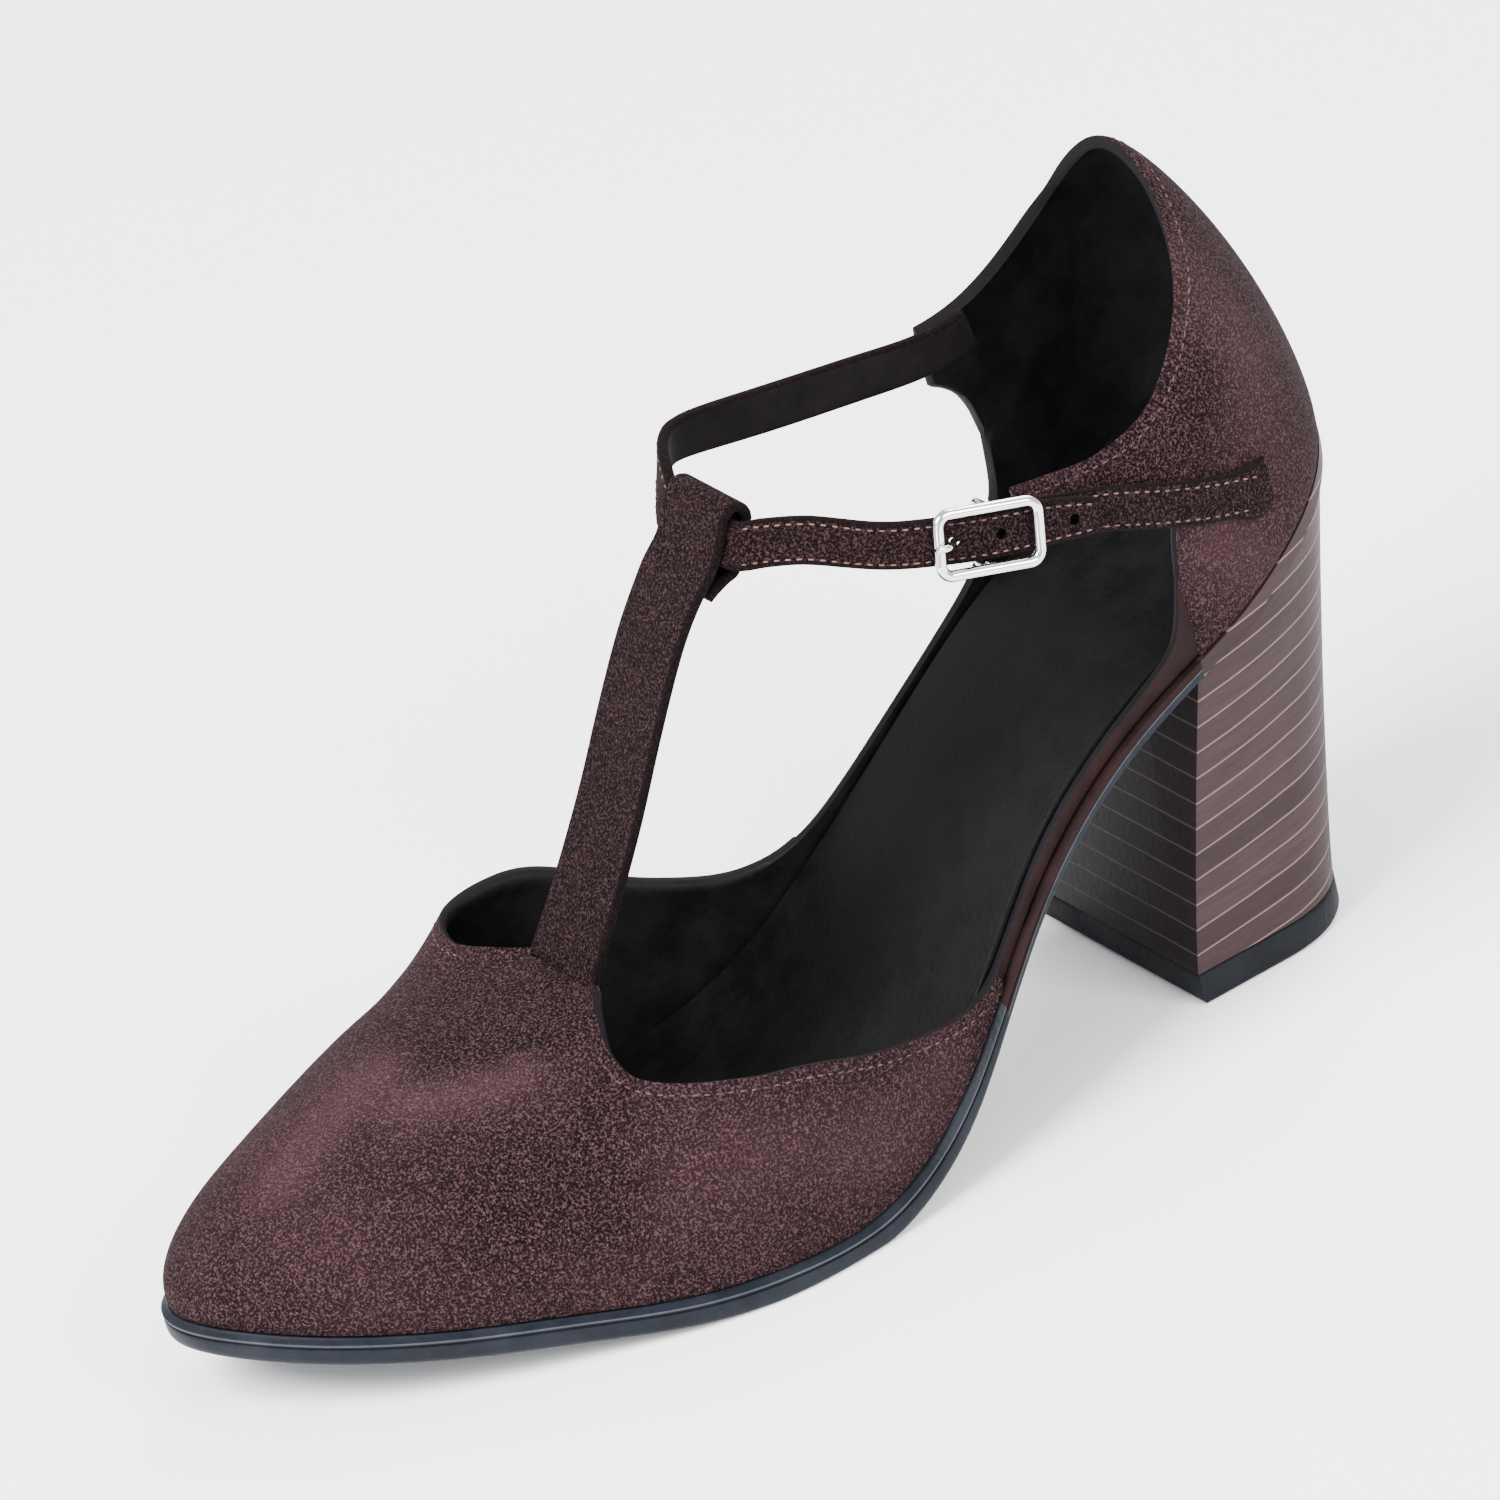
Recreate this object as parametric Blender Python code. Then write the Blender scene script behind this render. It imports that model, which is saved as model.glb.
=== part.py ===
"""A woman's left T strap shoe with a stacked block heel, modelled as its maker builds it.

Metres, +Z up. The toe points to -Y and +X is the outer side of the foot, so the inner side is -X.
The last is a table of sections. Leather is laid on the last or along a path, and every piece hangs from one empty.
"""

import math
from collections import namedtuple

import bmesh
import bpy
import numpy as np
from mathutils import Matrix, Vector

# Last
LAST_LENGTH = 0.2180
BALL_WIDTH = 0.0820
ANKLE_HEIGHT = 0.1120
HEEL_SEAT_HEIGHT = 0.0790
COUNTER_BULGE = 0.0060

# Bottom
OUTSOLE_FORE = 0.0045
OUTSOLE_WAIST = 0.0026
OUTSOLE_MARGIN = 0.0014
SEAT_MARGIN = 0.0002
INSOLE_THICK = 0.0030
SHANK_TURNS = (4.8, 6.4)

# Heel
HEEL_FOOT_WIDTH = 0.0480
HEEL_FOOT_LENGTH = 0.0354
HEEL_FOOT_BACK = 0.0186
BREAST_TURN = 3.45
TOP_PIECE_THICK = 0.0055

# Leather
UPPER_WALL = 0.0020
T_STRAP_WIDTH = 0.0170
T_STRAP_THICK = 0.0016
ANKLE_STRAP_WIDTH = 0.0076
ANKLE_STRAP_THICK = 0.0018
TAB_THICK = 0.0012
TAB_WIDTH = 0.0072

# Buckle
BUCKLE_LENGTH = 0.0182
BUCKLE_HEIGHT = 0.0114
BUCKLE_CORNER = 0.0028
BUCKLE_WIRE = 0.0018
BAR_WIRE = 0.0014
PRONG_WIRE = 0.0011
HOLE_PITCH = 0.0062
HOLE_FIRST = 0.0036
HOLE_RADIUS = 0.0009

# Fit between pieces
GAP = 0.0003

Section = namedtuple("Section", "back outer inner rise crown over under top low power full slope bulge swell")
# back: distance of the feather edge from the heel over the length.  outer, inner: its sides over half the ball.
# rise: height of the feather edge over the heel seat.  crown: distance of the crown from the heel.
# over, under: sideways place of the crown on the outer and inner side over half the ball.
# top, low: height of the outer and inner crown over the ankle.  power, full: roundness of both sides.
# slope: fall of the crown to the toe.  bulge, swell: roundness of both sides' walls over the counter's bulge.
LAST = (
    Section(0.002, 0.00, 0.00, 1.000, 0.079, 0.00, 0.00, 1.13, 1.13, 1.35, 1.35, 0.00, 0.27, 0.27),
    Section(0.019, 0.31, -0.34, 0.975, 0.091, 0.23, -0.20, 1.08, 1.15, 1.35, 1.35, 0.00, 0.31, 0.31),
    Section(0.068, 0.57, -0.58, 0.905, 0.124, 0.49, -0.46, 1.00, 1.04, 1.29, 1.29, 0.00, 0.45, 0.45),
    Section(0.155, 0.69, -0.62, 0.791, 0.183, 0.63, -0.60, 0.90, 0.94, 1.21, 1.21, 0.00, 0.34, 0.34),
    Section(0.257, 0.71, -0.55, 0.684, 0.269, 0.66, -0.64, 0.89, 0.93, 1.20, 1.20, 0.00, 0.23, 0.23),
    Section(0.367, 0.76, -0.51, 0.487, 0.385, 0.55, -0.60, 0.93, 0.97, 1.20, 1.20, 0.00, 0.20, 0.20),
    Section(0.468, 0.85, -0.70, 0.209, 0.454, 0.32, -0.41, 0.97, 0.98, 1.30, 1.40, 0.00, 0.20, 0.30),
    Section(0.560, 0.92, -0.93, 0.067, 0.514, 0.17, -0.27, 0.86, 0.86, 1.50, 1.80, 0.00, 0.20, 0.55),
    Section(0.642, 0.93, -1.03, 0.058, 0.601, 0.11, -0.30, 0.60, 0.60, 1.70, 2.25, 0.00, 0.20, 0.80),
    Section(0.716, 0.83, -1.04, 0.071, 0.651, 0.08, -0.34, 0.43, 0.43, 1.85, 2.55, 0.08, 0.25, 0.90),
    Section(0.789, 0.66, -1.00, 0.104, 0.665, 0.05, -0.35, 0.39, 0.39, 1.95, 2.65, 0.18, 0.25, 0.85),
    Section(0.862, 0.46, -0.90, 0.137, 0.665, 0.01, -0.30, 0.39, 0.39, 2.02, 2.60, 0.28, 0.30, 0.75),
    Section(0.927, 0.23, -0.77, 0.172, 0.665, -0.05, -0.26, 0.39, 0.39, 2.10, 2.45, 0.35, 0.30, 0.60),
    Section(0.974, -0.05, -0.63, 0.195, 0.665, -0.10, -0.20, 0.39, 0.39, 2.18, 2.35, 0.38, 0.35, 0.45),
    Section(1.000, -0.38, -0.38, 0.206, 0.665, -0.15, -0.15, 0.39, 0.39, 2.25, 2.25, 0.40, 0.35, 0.35),
)
ROWS = len(LAST)
TOE = ROWS - 1.0
LOOP = 2 * (ROWS - 1)


def closed_spline(values):
    """Second differences of the smooth closed curve through evenly numbered values."""
    count = len(values)
    matrix = 4.0 * np.eye(count) + np.roll(np.eye(count), 1, 0) + np.roll(np.eye(count), -1, 0)
    bend = 6.0 * (np.roll(values, -1, 0) - 2.0 * values + np.roll(values, 1, 0))
    return np.linalg.solve(matrix, bend)


def loop_values():
    """The last's columns as one closed loop: outer side from heel to toe, then inner side back."""
    outer = [(r.outer, r.back, r.rise, r.over, r.crown, r.top, r.power, r.slope, r.bulge) for r in LAST]
    inner = [(r.inner, r.back, r.rise, r.under, r.crown, r.low, r.full, r.slope, r.swell) for r in LAST]
    values = np.array(outer + inner[-2:0:-1])
    half = BALL_WIDTH / 2
    scale = (half, LAST_LENGTH, HEEL_SEAT_HEIGHT, half, LAST_LENGTH, ANKLE_HEIGHT, 1, 1, COUNTER_BULGE)
    return values * np.array(scale)


VALUES = loop_values()
BENDS = closed_spline(VALUES)


def around(turn):
    """The last's columns at a place on the loop: 0 is the heel's back and TOE the toe's tip."""
    turn = np.asarray(turn, float) % LOOP
    low = np.floor(turn).astype(int) % LOOP
    high = (low + 1) % LOOP
    b = (turn - np.floor(turn))[..., None]
    a = 1.0 - b
    cubic = (a ** 3 - a) * BENDS[low] + (b ** 3 - b) * BENDS[high]
    return a * VALUES[low] + b * VALUES[high] + cubic / 6.0


def outline_normal(turn):
    """Unit vector that points out of the last in plan."""
    step = around(np.asarray(turn) + 0.02) - around(np.asarray(turn) - 0.02)
    normal = np.stack([step[..., 1], step[..., 0]], -1)
    return normal / np.linalg.norm(normal, axis=-1, keepdims=True)


def last_point(turn, climb):
    """A point of the last: climb is 0 at the feather edge and 1 at the crown."""
    turn, climb = np.broadcast_arrays(np.asarray(turn, float), np.asarray(climb, float))
    side, back, rise, over, crown, height, power, slope, swell = np.moveaxis(around(turn), -1, 0)
    angle = np.clip(climb, 0.0, 1.0) * math.pi / 2
    inward = 1.0 - np.cos(angle) ** (2.0 / power)
    upward = (1.0 - slope) * np.sin(angle) ** (2.0 / power) + slope * inward
    normal = outline_normal(turn)
    bulge = swell * np.sin(2.0 * angle)
    x = side + (over - side) * inward + normal[..., 0] * bulge
    y = -back - (crown - back) * inward + normal[..., 1] * bulge
    z = rise + (height - rise) * upward
    return np.stack([x, y, z], -1)


def surface_normal(turn, climb):
    """Unit vector out of the last at a place of its surface."""
    climb = np.clip(np.asarray(climb, float), 0.02, 0.98)
    along = last_point(np.asarray(turn) + 0.01, climb) - last_point(np.asarray(turn) - 0.01, climb)
    upward = last_point(turn, climb + 0.02) - last_point(turn, climb - 0.02)
    normal = np.cross(upward, along)
    return normal / np.linalg.norm(normal, axis=-1, keepdims=True)


Edge = namedtuple("Edge", "turn outer inner")
# How far the upper climbs on the outer and inner side, from the cut-out's rear end to the throat.
TOP_EDGE = (
    Edge(3.24, 0.515, 0.430), Edge(3.32, 0.447, 0.315), Edge(3.41, 0.337, 0.262), Edge(3.58, 0.190, 0.200),
    Edge(3.85, 0.140, 0.140), Edge(4.25, 0.120, 0.112), Edge(4.80, 0.110, 0.110), Edge(5.30, 0.088, 0.118),
    Edge(5.60, 0.092, 0.137), Edge(5.90, 0.137, 0.165), Edge(6.30, 0.188, 0.200), Edge(7.00, 0.248, 0.255),
    Edge(7.70, 0.320, 0.345), Edge(8.10, 0.382, 0.415), Edge(8.45, 0.452, 0.505), Edge(8.80, 0.535, 0.630),
    Edge(9.05, 0.605, 0.725), Edge(9.20, 0.670, 0.785), Edge(9.32, 0.745, 0.845), Edge(9.43, 0.870, 0.925),
    Edge(9.55, 1.000, 1.000),
)
# The counter's wing: its lower edge from the cut-out's rear end forward, and where its tip meets the collar.
Wing = namedtuple("Wing", "turn climb")
OUTER_WING = (Wing(3.24, 0.515), Wing(3.46, 0.568), Wing(3.74, 0.618), Wing(4.02, 0.658), Wing(4.29, 0.70))
INNER_WING = (Wing(3.24, 0.43), Wing(3.25, 0.49), Wing(3.31, 0.563), Wing(3.42, 0.615), Wing(3.52, 0.645))
WING_TIPS = (4.27, 3.47)
CUT_OUT_END = 3.24
ROWS_BELOW = 9
ROWS_ABOVE = 7


def steps(*spans):
    """Turns from one place to the next: each span is an end and its number of steps."""
    values = [spans[0]]
    for end, count in spans[1:]:
        values += list(np.linspace(values[-1], end, count + 1)[1:])
    return np.array(values)


COUNTER_TURNS = steps(0.0, (CUT_OUT_END, 10))
SIDE_TURNS = steps(CUT_OUT_END, (3.34, 1), (3.60, 3), (4.0, 2), (5.2, 4), (9.05, 14), (9.55, 5), (TOE, 11))


def joint_climb(turn, side):
    """Height of the line where the counter's lower and upper rows meet."""
    end = OUTER_WING[0].climb if side > 0 else INNER_WING[0].climb
    middle = (OUTER_WING[0].climb + INNER_WING[0].climb) / 2
    return middle + (end - middle) * turn / CUT_OUT_END


def smooth_path(points, per_step):
    """A smooth curve through points, with the same number of parts between each two."""
    points = np.asarray(points, float)
    padded = np.concatenate([[2 * points[0] - points[1]], points, [2 * points[-1] - points[-2]]])
    result = []
    for p0, p1, p2, p3 in zip(padded[:-3], padded[1:-2], padded[2:-1], padded[3:]):
        for t in np.arange(per_step) / per_step:
            bend = (2 * p0 - 5 * p1 + 4 * p2 - p3) * t * t + (3 * p1 - p0 - 3 * p2 + p3) * t ** 3
            result.append(0.5 * (2 * p1 + (p2 - p0) * t + bend))
    return np.array(result + [points[-1]])


TOP_CURVE = smooth_path(TOP_EDGE, 8)
WING_CURVES = {1: smooth_path(OUTER_WING, 6), -1: smooth_path(INNER_WING, 6)}


def top_climb(turn, side):
    """How far the lower rows climb at a turn of the outer (1) or inner (-1) side."""
    if turn <= CUT_OUT_END:
        return joint_climb(turn, side)
    return float(np.interp(turn, TOP_CURVE[:, 0], TOP_CURVE[:, 1 if side > 0 else 2]))


def signed(turn, side):
    """A turn of one side as a turn on the whole loop."""
    return turn if side > 0 else LOOP - turn


def mesh_object(name, points, faces, material):
    """One object from points and faces, with its faces turned outward."""
    mesh = bpy.data.meshes.new(name)
    mesh.from_pydata([tuple(point) for point in points], [], faces)
    work = bmesh.new()
    work.from_mesh(mesh)
    bmesh.ops.remove_doubles(work, verts=work.verts, dist=1e-6)
    bmesh.ops.recalc_face_normals(work, faces=work.faces)
    work.to_mesh(mesh)
    work.free()
    mesh.materials.append(material)
    item = bpy.data.objects.new(name, mesh)
    bpy.context.scene.collection.objects.link(item)
    return item


def thick_sheet(name, rows_of_places, wall, material):
    """A wall laid on the last: quads between rows of (turn, climb) places, their backs and their edges."""
    places = []
    index = {}
    faces = []

    def number(place):
        key = (round(place[0] % LOOP, 6), round(place[1], 6))
        if key not in index:
            index[key] = len(places)
            places.append(place)
        return index[key]

    for rows in rows_of_places:
        for low, high in zip(rows[:-1], rows[1:]):
            for a, b, c, d in zip(low[:-1], low[1:], high[1:], high[:-1]):
                face = [number(a), number(b), number(c), number(d)]
                faces.append([v for n, v in enumerate(face) if v not in face[:n]])
    turns = np.array([place[0] for place in places])
    climbs = np.array([place[1] for place in places])
    outside = last_point(turns, climbs)
    inside = outside - wall * surface_normal(turns, climbs)
    count = len(places)
    edges = {}
    for face in faces:
        for a, b in zip(face, face[1:] + face[:1]):
            edges[(a, b)] = edges.get((a, b), 0) + 1
    rim = [(a, b) for (a, b) in edges if (b, a) not in edges]
    backs = [[v + count for v in reversed(face)] for face in faces]
    sides = [[b, a, a + count, b + count] for a, b in rim]
    return mesh_object(name, np.concatenate([outside, inside]), faces + backs + sides, material)


def lower_rows():
    """The vamp, the low sides and the counter's foot: a closed band from the feather edge upward."""
    outer = [(turn, top_climb(turn, 1)) for turn in COUNTER_TURNS]
    outer += [(turn, top_climb(turn, 1)) for turn in SIDE_TURNS[1:]]
    inner = [(LOOP - turn, top_climb(turn, -1)) for turn in SIDE_TURNS[-2:0:-1]]
    inner += [(LOOP - turn, top_climb(turn, -1)) for turn in COUNTER_TURNS[::-1]]
    tops = outer + inner
    shares = np.linspace(0.0, 1.0, ROWS_BELOW + 1) ** 1.15
    return [[(turn, climb * share) for turn, climb in tops] for share in shares]


def upper_rows():
    """The counter above the cut-outs with its two wings: an open band up to the collar."""
    bottom = []
    for side, tip, count in ((1, WING_TIPS[0], 7), (-1, WING_TIPS[1], 5)):
        curve = WING_CURVES[side]
        turns = np.linspace(CUT_OUT_END, curve[-1, 0], count + 1)[1:]
        climbs = np.interp(turns, curve[:, 0], curve[:, 1])
        reach = (tip - CUT_OUT_END) / (curve[-1, 0] - CUT_OUT_END)
        tops = CUT_OUT_END + (turns - CUT_OUT_END) * reach
        row = [(signed(t, side), c, signed(top, side)) for t, c, top in zip(turns, climbs, tops)]
        bottom.append(row)
    back = [(t, joint_climb(t, 1), t) for t in COUNTER_TURNS[::-1]]
    back += [(LOOP - t, joint_climb(t, -1), LOOP - t) for t in COUNTER_TURNS[1:]]
    columns = (bottom[0][::-1] + back + bottom[1])[::-1]
    rows = []
    for share in np.linspace(0.0, 1.0, ROWS_ABOVE + 1):
        rows.append([(low + (top - low) * share, climb + (1.0 - climb) * share) for low, climb, top in columns])
    return rows


def sole_margin(turns):
    """How far the sole stands out past the feather edge: hardly at the seat, fully at the forefoot."""
    share = np.clip((turns - 2.5) / 3.5, 0.0, 1.0)
    return SEAT_MARGIN + (OUTSOLE_MARGIN - SEAT_MARGIN) * share


def outline_points(turns, side, out):
    """Points beside the feather edge, so far out in plan, at the feather edge's height."""
    loop = np.array([signed(turn, side) for turn in turns])
    out = np.broadcast_to(out, loop.shape)
    values = around(loop)
    normal = outline_normal(loop)
    return np.stack([values[:, 0] + out * normal[:, 0], -values[:, 1] + out * normal[:, 1], values[:, 2]], -1)


def slope_drop(turns, gap):
    """Height that keeps a gap square to the sloping shank."""
    turns = np.asarray(turns, float)
    rise = around(turns + 0.05)[:, 2] - around(turns - 0.05)[:, 2]
    run = around(turns + 0.05)[:, 1] - around(turns - 0.05)[:, 1]
    steep = rise / np.where(np.abs(run) < 1e-5, 1e-5, run)
    return gap * np.sqrt(1.0 + np.clip(steep, -1.5, 1.5) ** 2)


def ladder(name, levels, material):
    """A solid from levels, each an outer and an inner side of points that run from the heel forward."""
    points = []
    faces = []
    rings = []
    for outer, inner in levels:
        ring = [len(points) + n for n in range(len(outer) + len(inner))]
        points += list(outer) + list(inner)
        rings.append((ring[:len(outer)], ring[len(outer):]))
    for (low_out, low_in), (high_out, high_in) in zip(rings[:-1], rings[1:]):
        low = low_out + low_in[::-1]
        high = high_out + high_in[::-1]
        for a, b, c, d in zip(low, low[1:] + low[:1], high[1:] + high[:1], high):
            faces.append([a, b, c, d])
    for (outer, inner), up in ((rings[0], False), (rings[-1], True)):
        for a, b, c, d in zip(outer[:-1], outer[1:], inner[1:], inner[:-1]):
            faces.append([d, c, b, a] if up else [a, b, c, d])
    return mesh_object(name, points, faces, material)


SOLE_TURNS = steps(0.0, (3.0, 10), (9.0, 18), (TOE, 16))
EdgeStep = namedtuple("EdgeStep", "drop out")
# The outsole's side from its top: drop over the thickness and place against the margin, with one fine groove.
OUTSOLE_EDGE = (
    EdgeStep(0.00, -0.0005), EdgeStep(0.08, 0.0), EdgeStep(0.26, 0.0), EdgeStep(0.31, -0.0004),
    EdgeStep(0.36, 0.0), EdgeStep(0.88, 0.0), EdgeStep(1.00, -0.0006),
)


def outsole_thickness(turns):
    """Thin under the heel and shank, full under the forefoot."""
    share = np.clip((turns - SHANK_TURNS[0]) / (SHANK_TURNS[1] - SHANK_TURNS[0]), 0.0, 1.0)
    return OUTSOLE_WAIST + (OUTSOLE_FORE - OUTSOLE_WAIST) * share * share * (3.0 - 2.0 * share)


def build_outsole(material):
    """One thin sole from the heel seat to the toe, flat on the floor under the ball."""
    thick = outsole_thickness(SOLE_TURNS)
    top = around(SOLE_TURNS)[:, 2] - slope_drop(SOLE_TURNS, GAP)
    bottom = np.maximum(top - thick, 0.0)
    levels = []
    for step in OUTSOLE_EDGE:
        sides = []
        for side in (1, -1):
            points = outline_points(SOLE_TURNS, side, sole_margin(SOLE_TURNS) + step.out)
            points[:, 2] = top + (bottom - top) * step.drop
            sides.append(points)
        levels.append(sides)
    return ladder("outsole", levels[::-1], material)


def build_insole(material):
    """The covered insole that lies inside the upper."""
    inset = UPPER_WALL + 2.0 * GAP
    levels = []
    for height, out in ((0.0, -0.0006), (0.0006, 0.0), (INSOLE_THICK - 0.0006, 0.0), (INSOLE_THICK, -0.0006)):
        sides = []
        for side in (1, -1):
            points = outline_points(SOLE_TURNS, side, out - inset)
            points[:, 2] += height + 0.5 * GAP
            sides.append(points)
        levels.append(sides)
    return ladder("insole", levels, material)


def heel_foot(share, side, inset):
    """Plan of the heel's foot: a round back, straight sides and a flat breast."""
    half = HEEL_FOOT_WIDTH / 2 - inset
    length = HEEL_FOOT_LENGTH - 2.0 * inset
    angle = np.minimum(share / 0.62, 1.0) * math.pi / 2
    straight = np.maximum(share - 0.62, 0.0) / 0.38
    back = HEEL_FOOT_BACK + inset
    depth = 0.55 * length * (1.0 - np.cos(angle) ** 0.85) + 0.45 * length * straight
    return np.stack([side * half * np.sin(angle) ** 0.85, -back - depth], -1)


def build_heel(material):
    """The stacked block between the top piece and the seat, its breast set in under the shank."""
    turns = np.linspace(0.0, BREAST_TURN, 15)
    share = np.linspace(0.0, 1.0, 15)
    seat = around(turns)[:, 2] - slope_drop(turns, 2.0 * GAP + OUTSOLE_WAIST)
    floor = TOP_PIECE_THICK + GAP
    levels = []
    for height in np.linspace(0.0, 1.0, 9):
        sides = []
        for side in (1, -1):
            top = outline_points(turns, side, -0.0004)
            foot = heel_foot(share, side, 0.0)
            flare = height ** 1.1
            plan = foot + (top[:, :2] - foot) * flare
            sides.append(np.column_stack([plan, floor + (seat - floor) * height]))
        levels.append(sides)
    return ladder("heel_block", levels, material)


def build_top_piece(material):
    """The rubber top piece that the heel stands on."""
    share = np.linspace(0.0, 1.0, 15)
    levels = []
    high = TOP_PIECE_THICK
    for height, inset in ((0.0, 0.0008), (0.0006, 0.0002), (high - 0.0006, 0.0), (high, 0.0004)):
        sides = [np.column_stack([heel_foot(share, side, inset), np.full(15, height)]) for side in (1, -1)]
        levels.append(sides)
    return ladder("top_piece", levels, material)


Ribbon = namedtuple("Ribbon", "centre across out width")
# centre: middle of the ribbon.  across: unit vector over its width.  out: unit vector over its thickness.


def unit(vector):
    """The vector with length one."""
    vector = np.asarray(vector, float)
    return vector / np.linalg.norm(vector, axis=-1, keepdims=True)


def ribbon_object(name, stations, thick, item_material):
    """A strap: a flat section with rounded edges, carried along its stations."""
    half = ((0.5, -0.22), (0.5, 0.22), (0.46, 0.5), (-0.46, 0.5))
    section = ((-0.5, -0.22), (-0.46, -0.5), (0.46, -0.5)) + half + ((-0.5, 0.22),)
    points = []
    faces = []
    for station in stations:
        for wide, deep in section:
            points.append(station.centre + station.across * station.width * wide + station.out * thick * deep)
    count = len(section)
    for k in range(len(stations) - 1):
        for n in range(count):
            m = (n + 1) % count
            faces.append([k * count + n, k * count + m, (k + 1) * count + m, (k + 1) * count + n])
    faces.append(list(range(count))[::-1])
    faces.append([(len(stations) - 1) * count + n for n in range(count)])
    return mesh_object(name, points, faces, item_material)


# The T strap's outer face above the vamp: distance from the heel and height, then the ankle strap's front.
Rise = namedtuple("Rise", "back height side width")
T_LINE = (
    Rise(0.1442, 0.0447, -0.0060, 0.0183), Rise(0.1400, 0.0512, -0.0054, 0.0178),
    Rise(0.1350, 0.0593, -0.0047, 0.0174), Rise(0.1300, 0.0678, -0.0040, 0.0172),
    Rise(0.1240, 0.0790, -0.0031, 0.0170), Rise(0.1175, 0.0903, -0.0022, 0.0169),
    Rise(0.1125, 0.0975, -0.0014, 0.0169),
)
FRONT_TOP = np.array([-0.0008, -0.1020, 0.1068])
FRONT_UP = unit([0.0, 0.50, 0.866])
FRONT_OUT = unit([0.0, -0.866, 0.50])
Leg = namedtuple("Leg", "drop out")
# The T strap's end behind the ankle strap: drop from the fold and place against the ankle strap's middle.
FOLD_LEG = (
    Leg(0.0045, -0.0020), Leg(0.0081, -0.0021), Leg(0.0097, -0.0009), Leg(0.0113, 0.0003), Leg(0.0130, 0.0013),
)


def t_strap_stations():
    """The T strap from the vamp's neck, up the instep, over the ankle strap and down behind it."""
    line = np.array([[row.side, -row.back, row.height] for row in T_LINE])
    tangent = unit(np.gradient(line, axis=0))
    out = unit(np.cross(tangent, [1.0, 0.0, 0.0]))
    out = out * np.sign(out[:, 2:3])
    points = list(line - out * T_STRAP_THICK / 2)
    points[0] = points[0] + tangent[0] * 2.0 * GAP
    widths = [row.width for row in T_LINE]
    reach = ANKLE_STRAP_THICK / 2 + GAP + T_STRAP_THICK / 2
    points.append(FRONT_TOP - FRONT_UP * 0.0072 + FRONT_OUT * reach * 1.05)
    points.append(FRONT_TOP - FRONT_UP * 0.0030 + FRONT_OUT * reach)
    for angle in np.linspace(0.0, math.pi, 9):
        points.append(FRONT_TOP + reach * (FRONT_OUT * math.cos(angle) + FRONT_UP * math.sin(angle)))
    for leg in FOLD_LEG:
        points.append(FRONT_TOP - FRONT_UP * leg.drop + FRONT_OUT * leg.out)
    widths += [0.0169] * (len(points) - len(widths) - 4) + [0.0164, 0.0158, 0.0155, 0.0152]
    points = np.array(points)
    tangent = unit(np.gradient(points, axis=0))
    across = unit(np.array([1.0, 0.0, 0.0]) - tangent * tangent[:, :1])
    out = np.cross(tangent, across)
    return [Ribbon(c, a, o, w) for c, a, o, w in zip(points, across, out, widths)]


Lay = namedtuple("Lay", "turn climb out")
# Middle lines of the straps beside the last: place on the loop, climb, and distance out of the last.
OUTER_LINE = (
    Lay(3.87, 0.703, 0.0027), Lay(4.00, 0.724, 0.0027), Lay(4.20, 0.750, 0.0027), Lay(4.40, 0.768, 0.0027),
    Lay(4.58, 0.780, 0.0027), Lay(4.78, 0.800, 0.0027), Lay(4.98, 0.823, 0.0026), Lay(5.20, 0.838, 0.0014),
    Lay(5.45, 0.850, 0.0000), Lay(5.75, 0.861, -0.0008), Lay(6.05, 0.869, -0.0009),
)
INNER_LINE = (
    Lay(3.05, 0.790, -0.0033), Lay(3.30, 0.790, -0.0033), Lay(3.60, 0.795, -0.0032), Lay(3.90, 0.801, -0.0016),
    Lay(4.20, 0.808, -0.0009), Lay(4.60, 0.822, -0.0009), Lay(5.00, 0.840, -0.0006), Lay(5.40, 0.862, 0.0004),
    Lay(5.75, 0.882, 0.0014), Lay(6.05, 0.890, 0.0018),
)
TAB_LINE = (
    Lay(2.42, 0.352, 0.0009), Lay(2.52, 0.357, 0.0009), Lay(2.62, 0.388, 0.0009), Lay(2.82, 0.452, 0.0009),
    Lay(3.12, 0.540, 0.0009), Lay(3.35, 0.598, 0.0009), Lay(3.58, 0.652, 0.0009), Lay(3.77, 0.690, 0.0009),
    Lay(4.00, 0.724, 0.0009), Lay(4.20, 0.750, 0.0009),
)


def along_line(line, side, per_step):
    """Middle, width direction and outward direction of a strap beside the last."""
    curve = smooth_path(line, per_step)
    loop = curve[:, 0] if side > 0 else LOOP - curve[:, 0]
    climb = curve[:, 1]
    across = unit(last_point(loop, climb + 0.03) - last_point(loop, climb - 0.03))
    out = surface_normal(loop, climb)
    return last_point(loop, climb) + out * curve[:, 2:3], across, out


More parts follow.
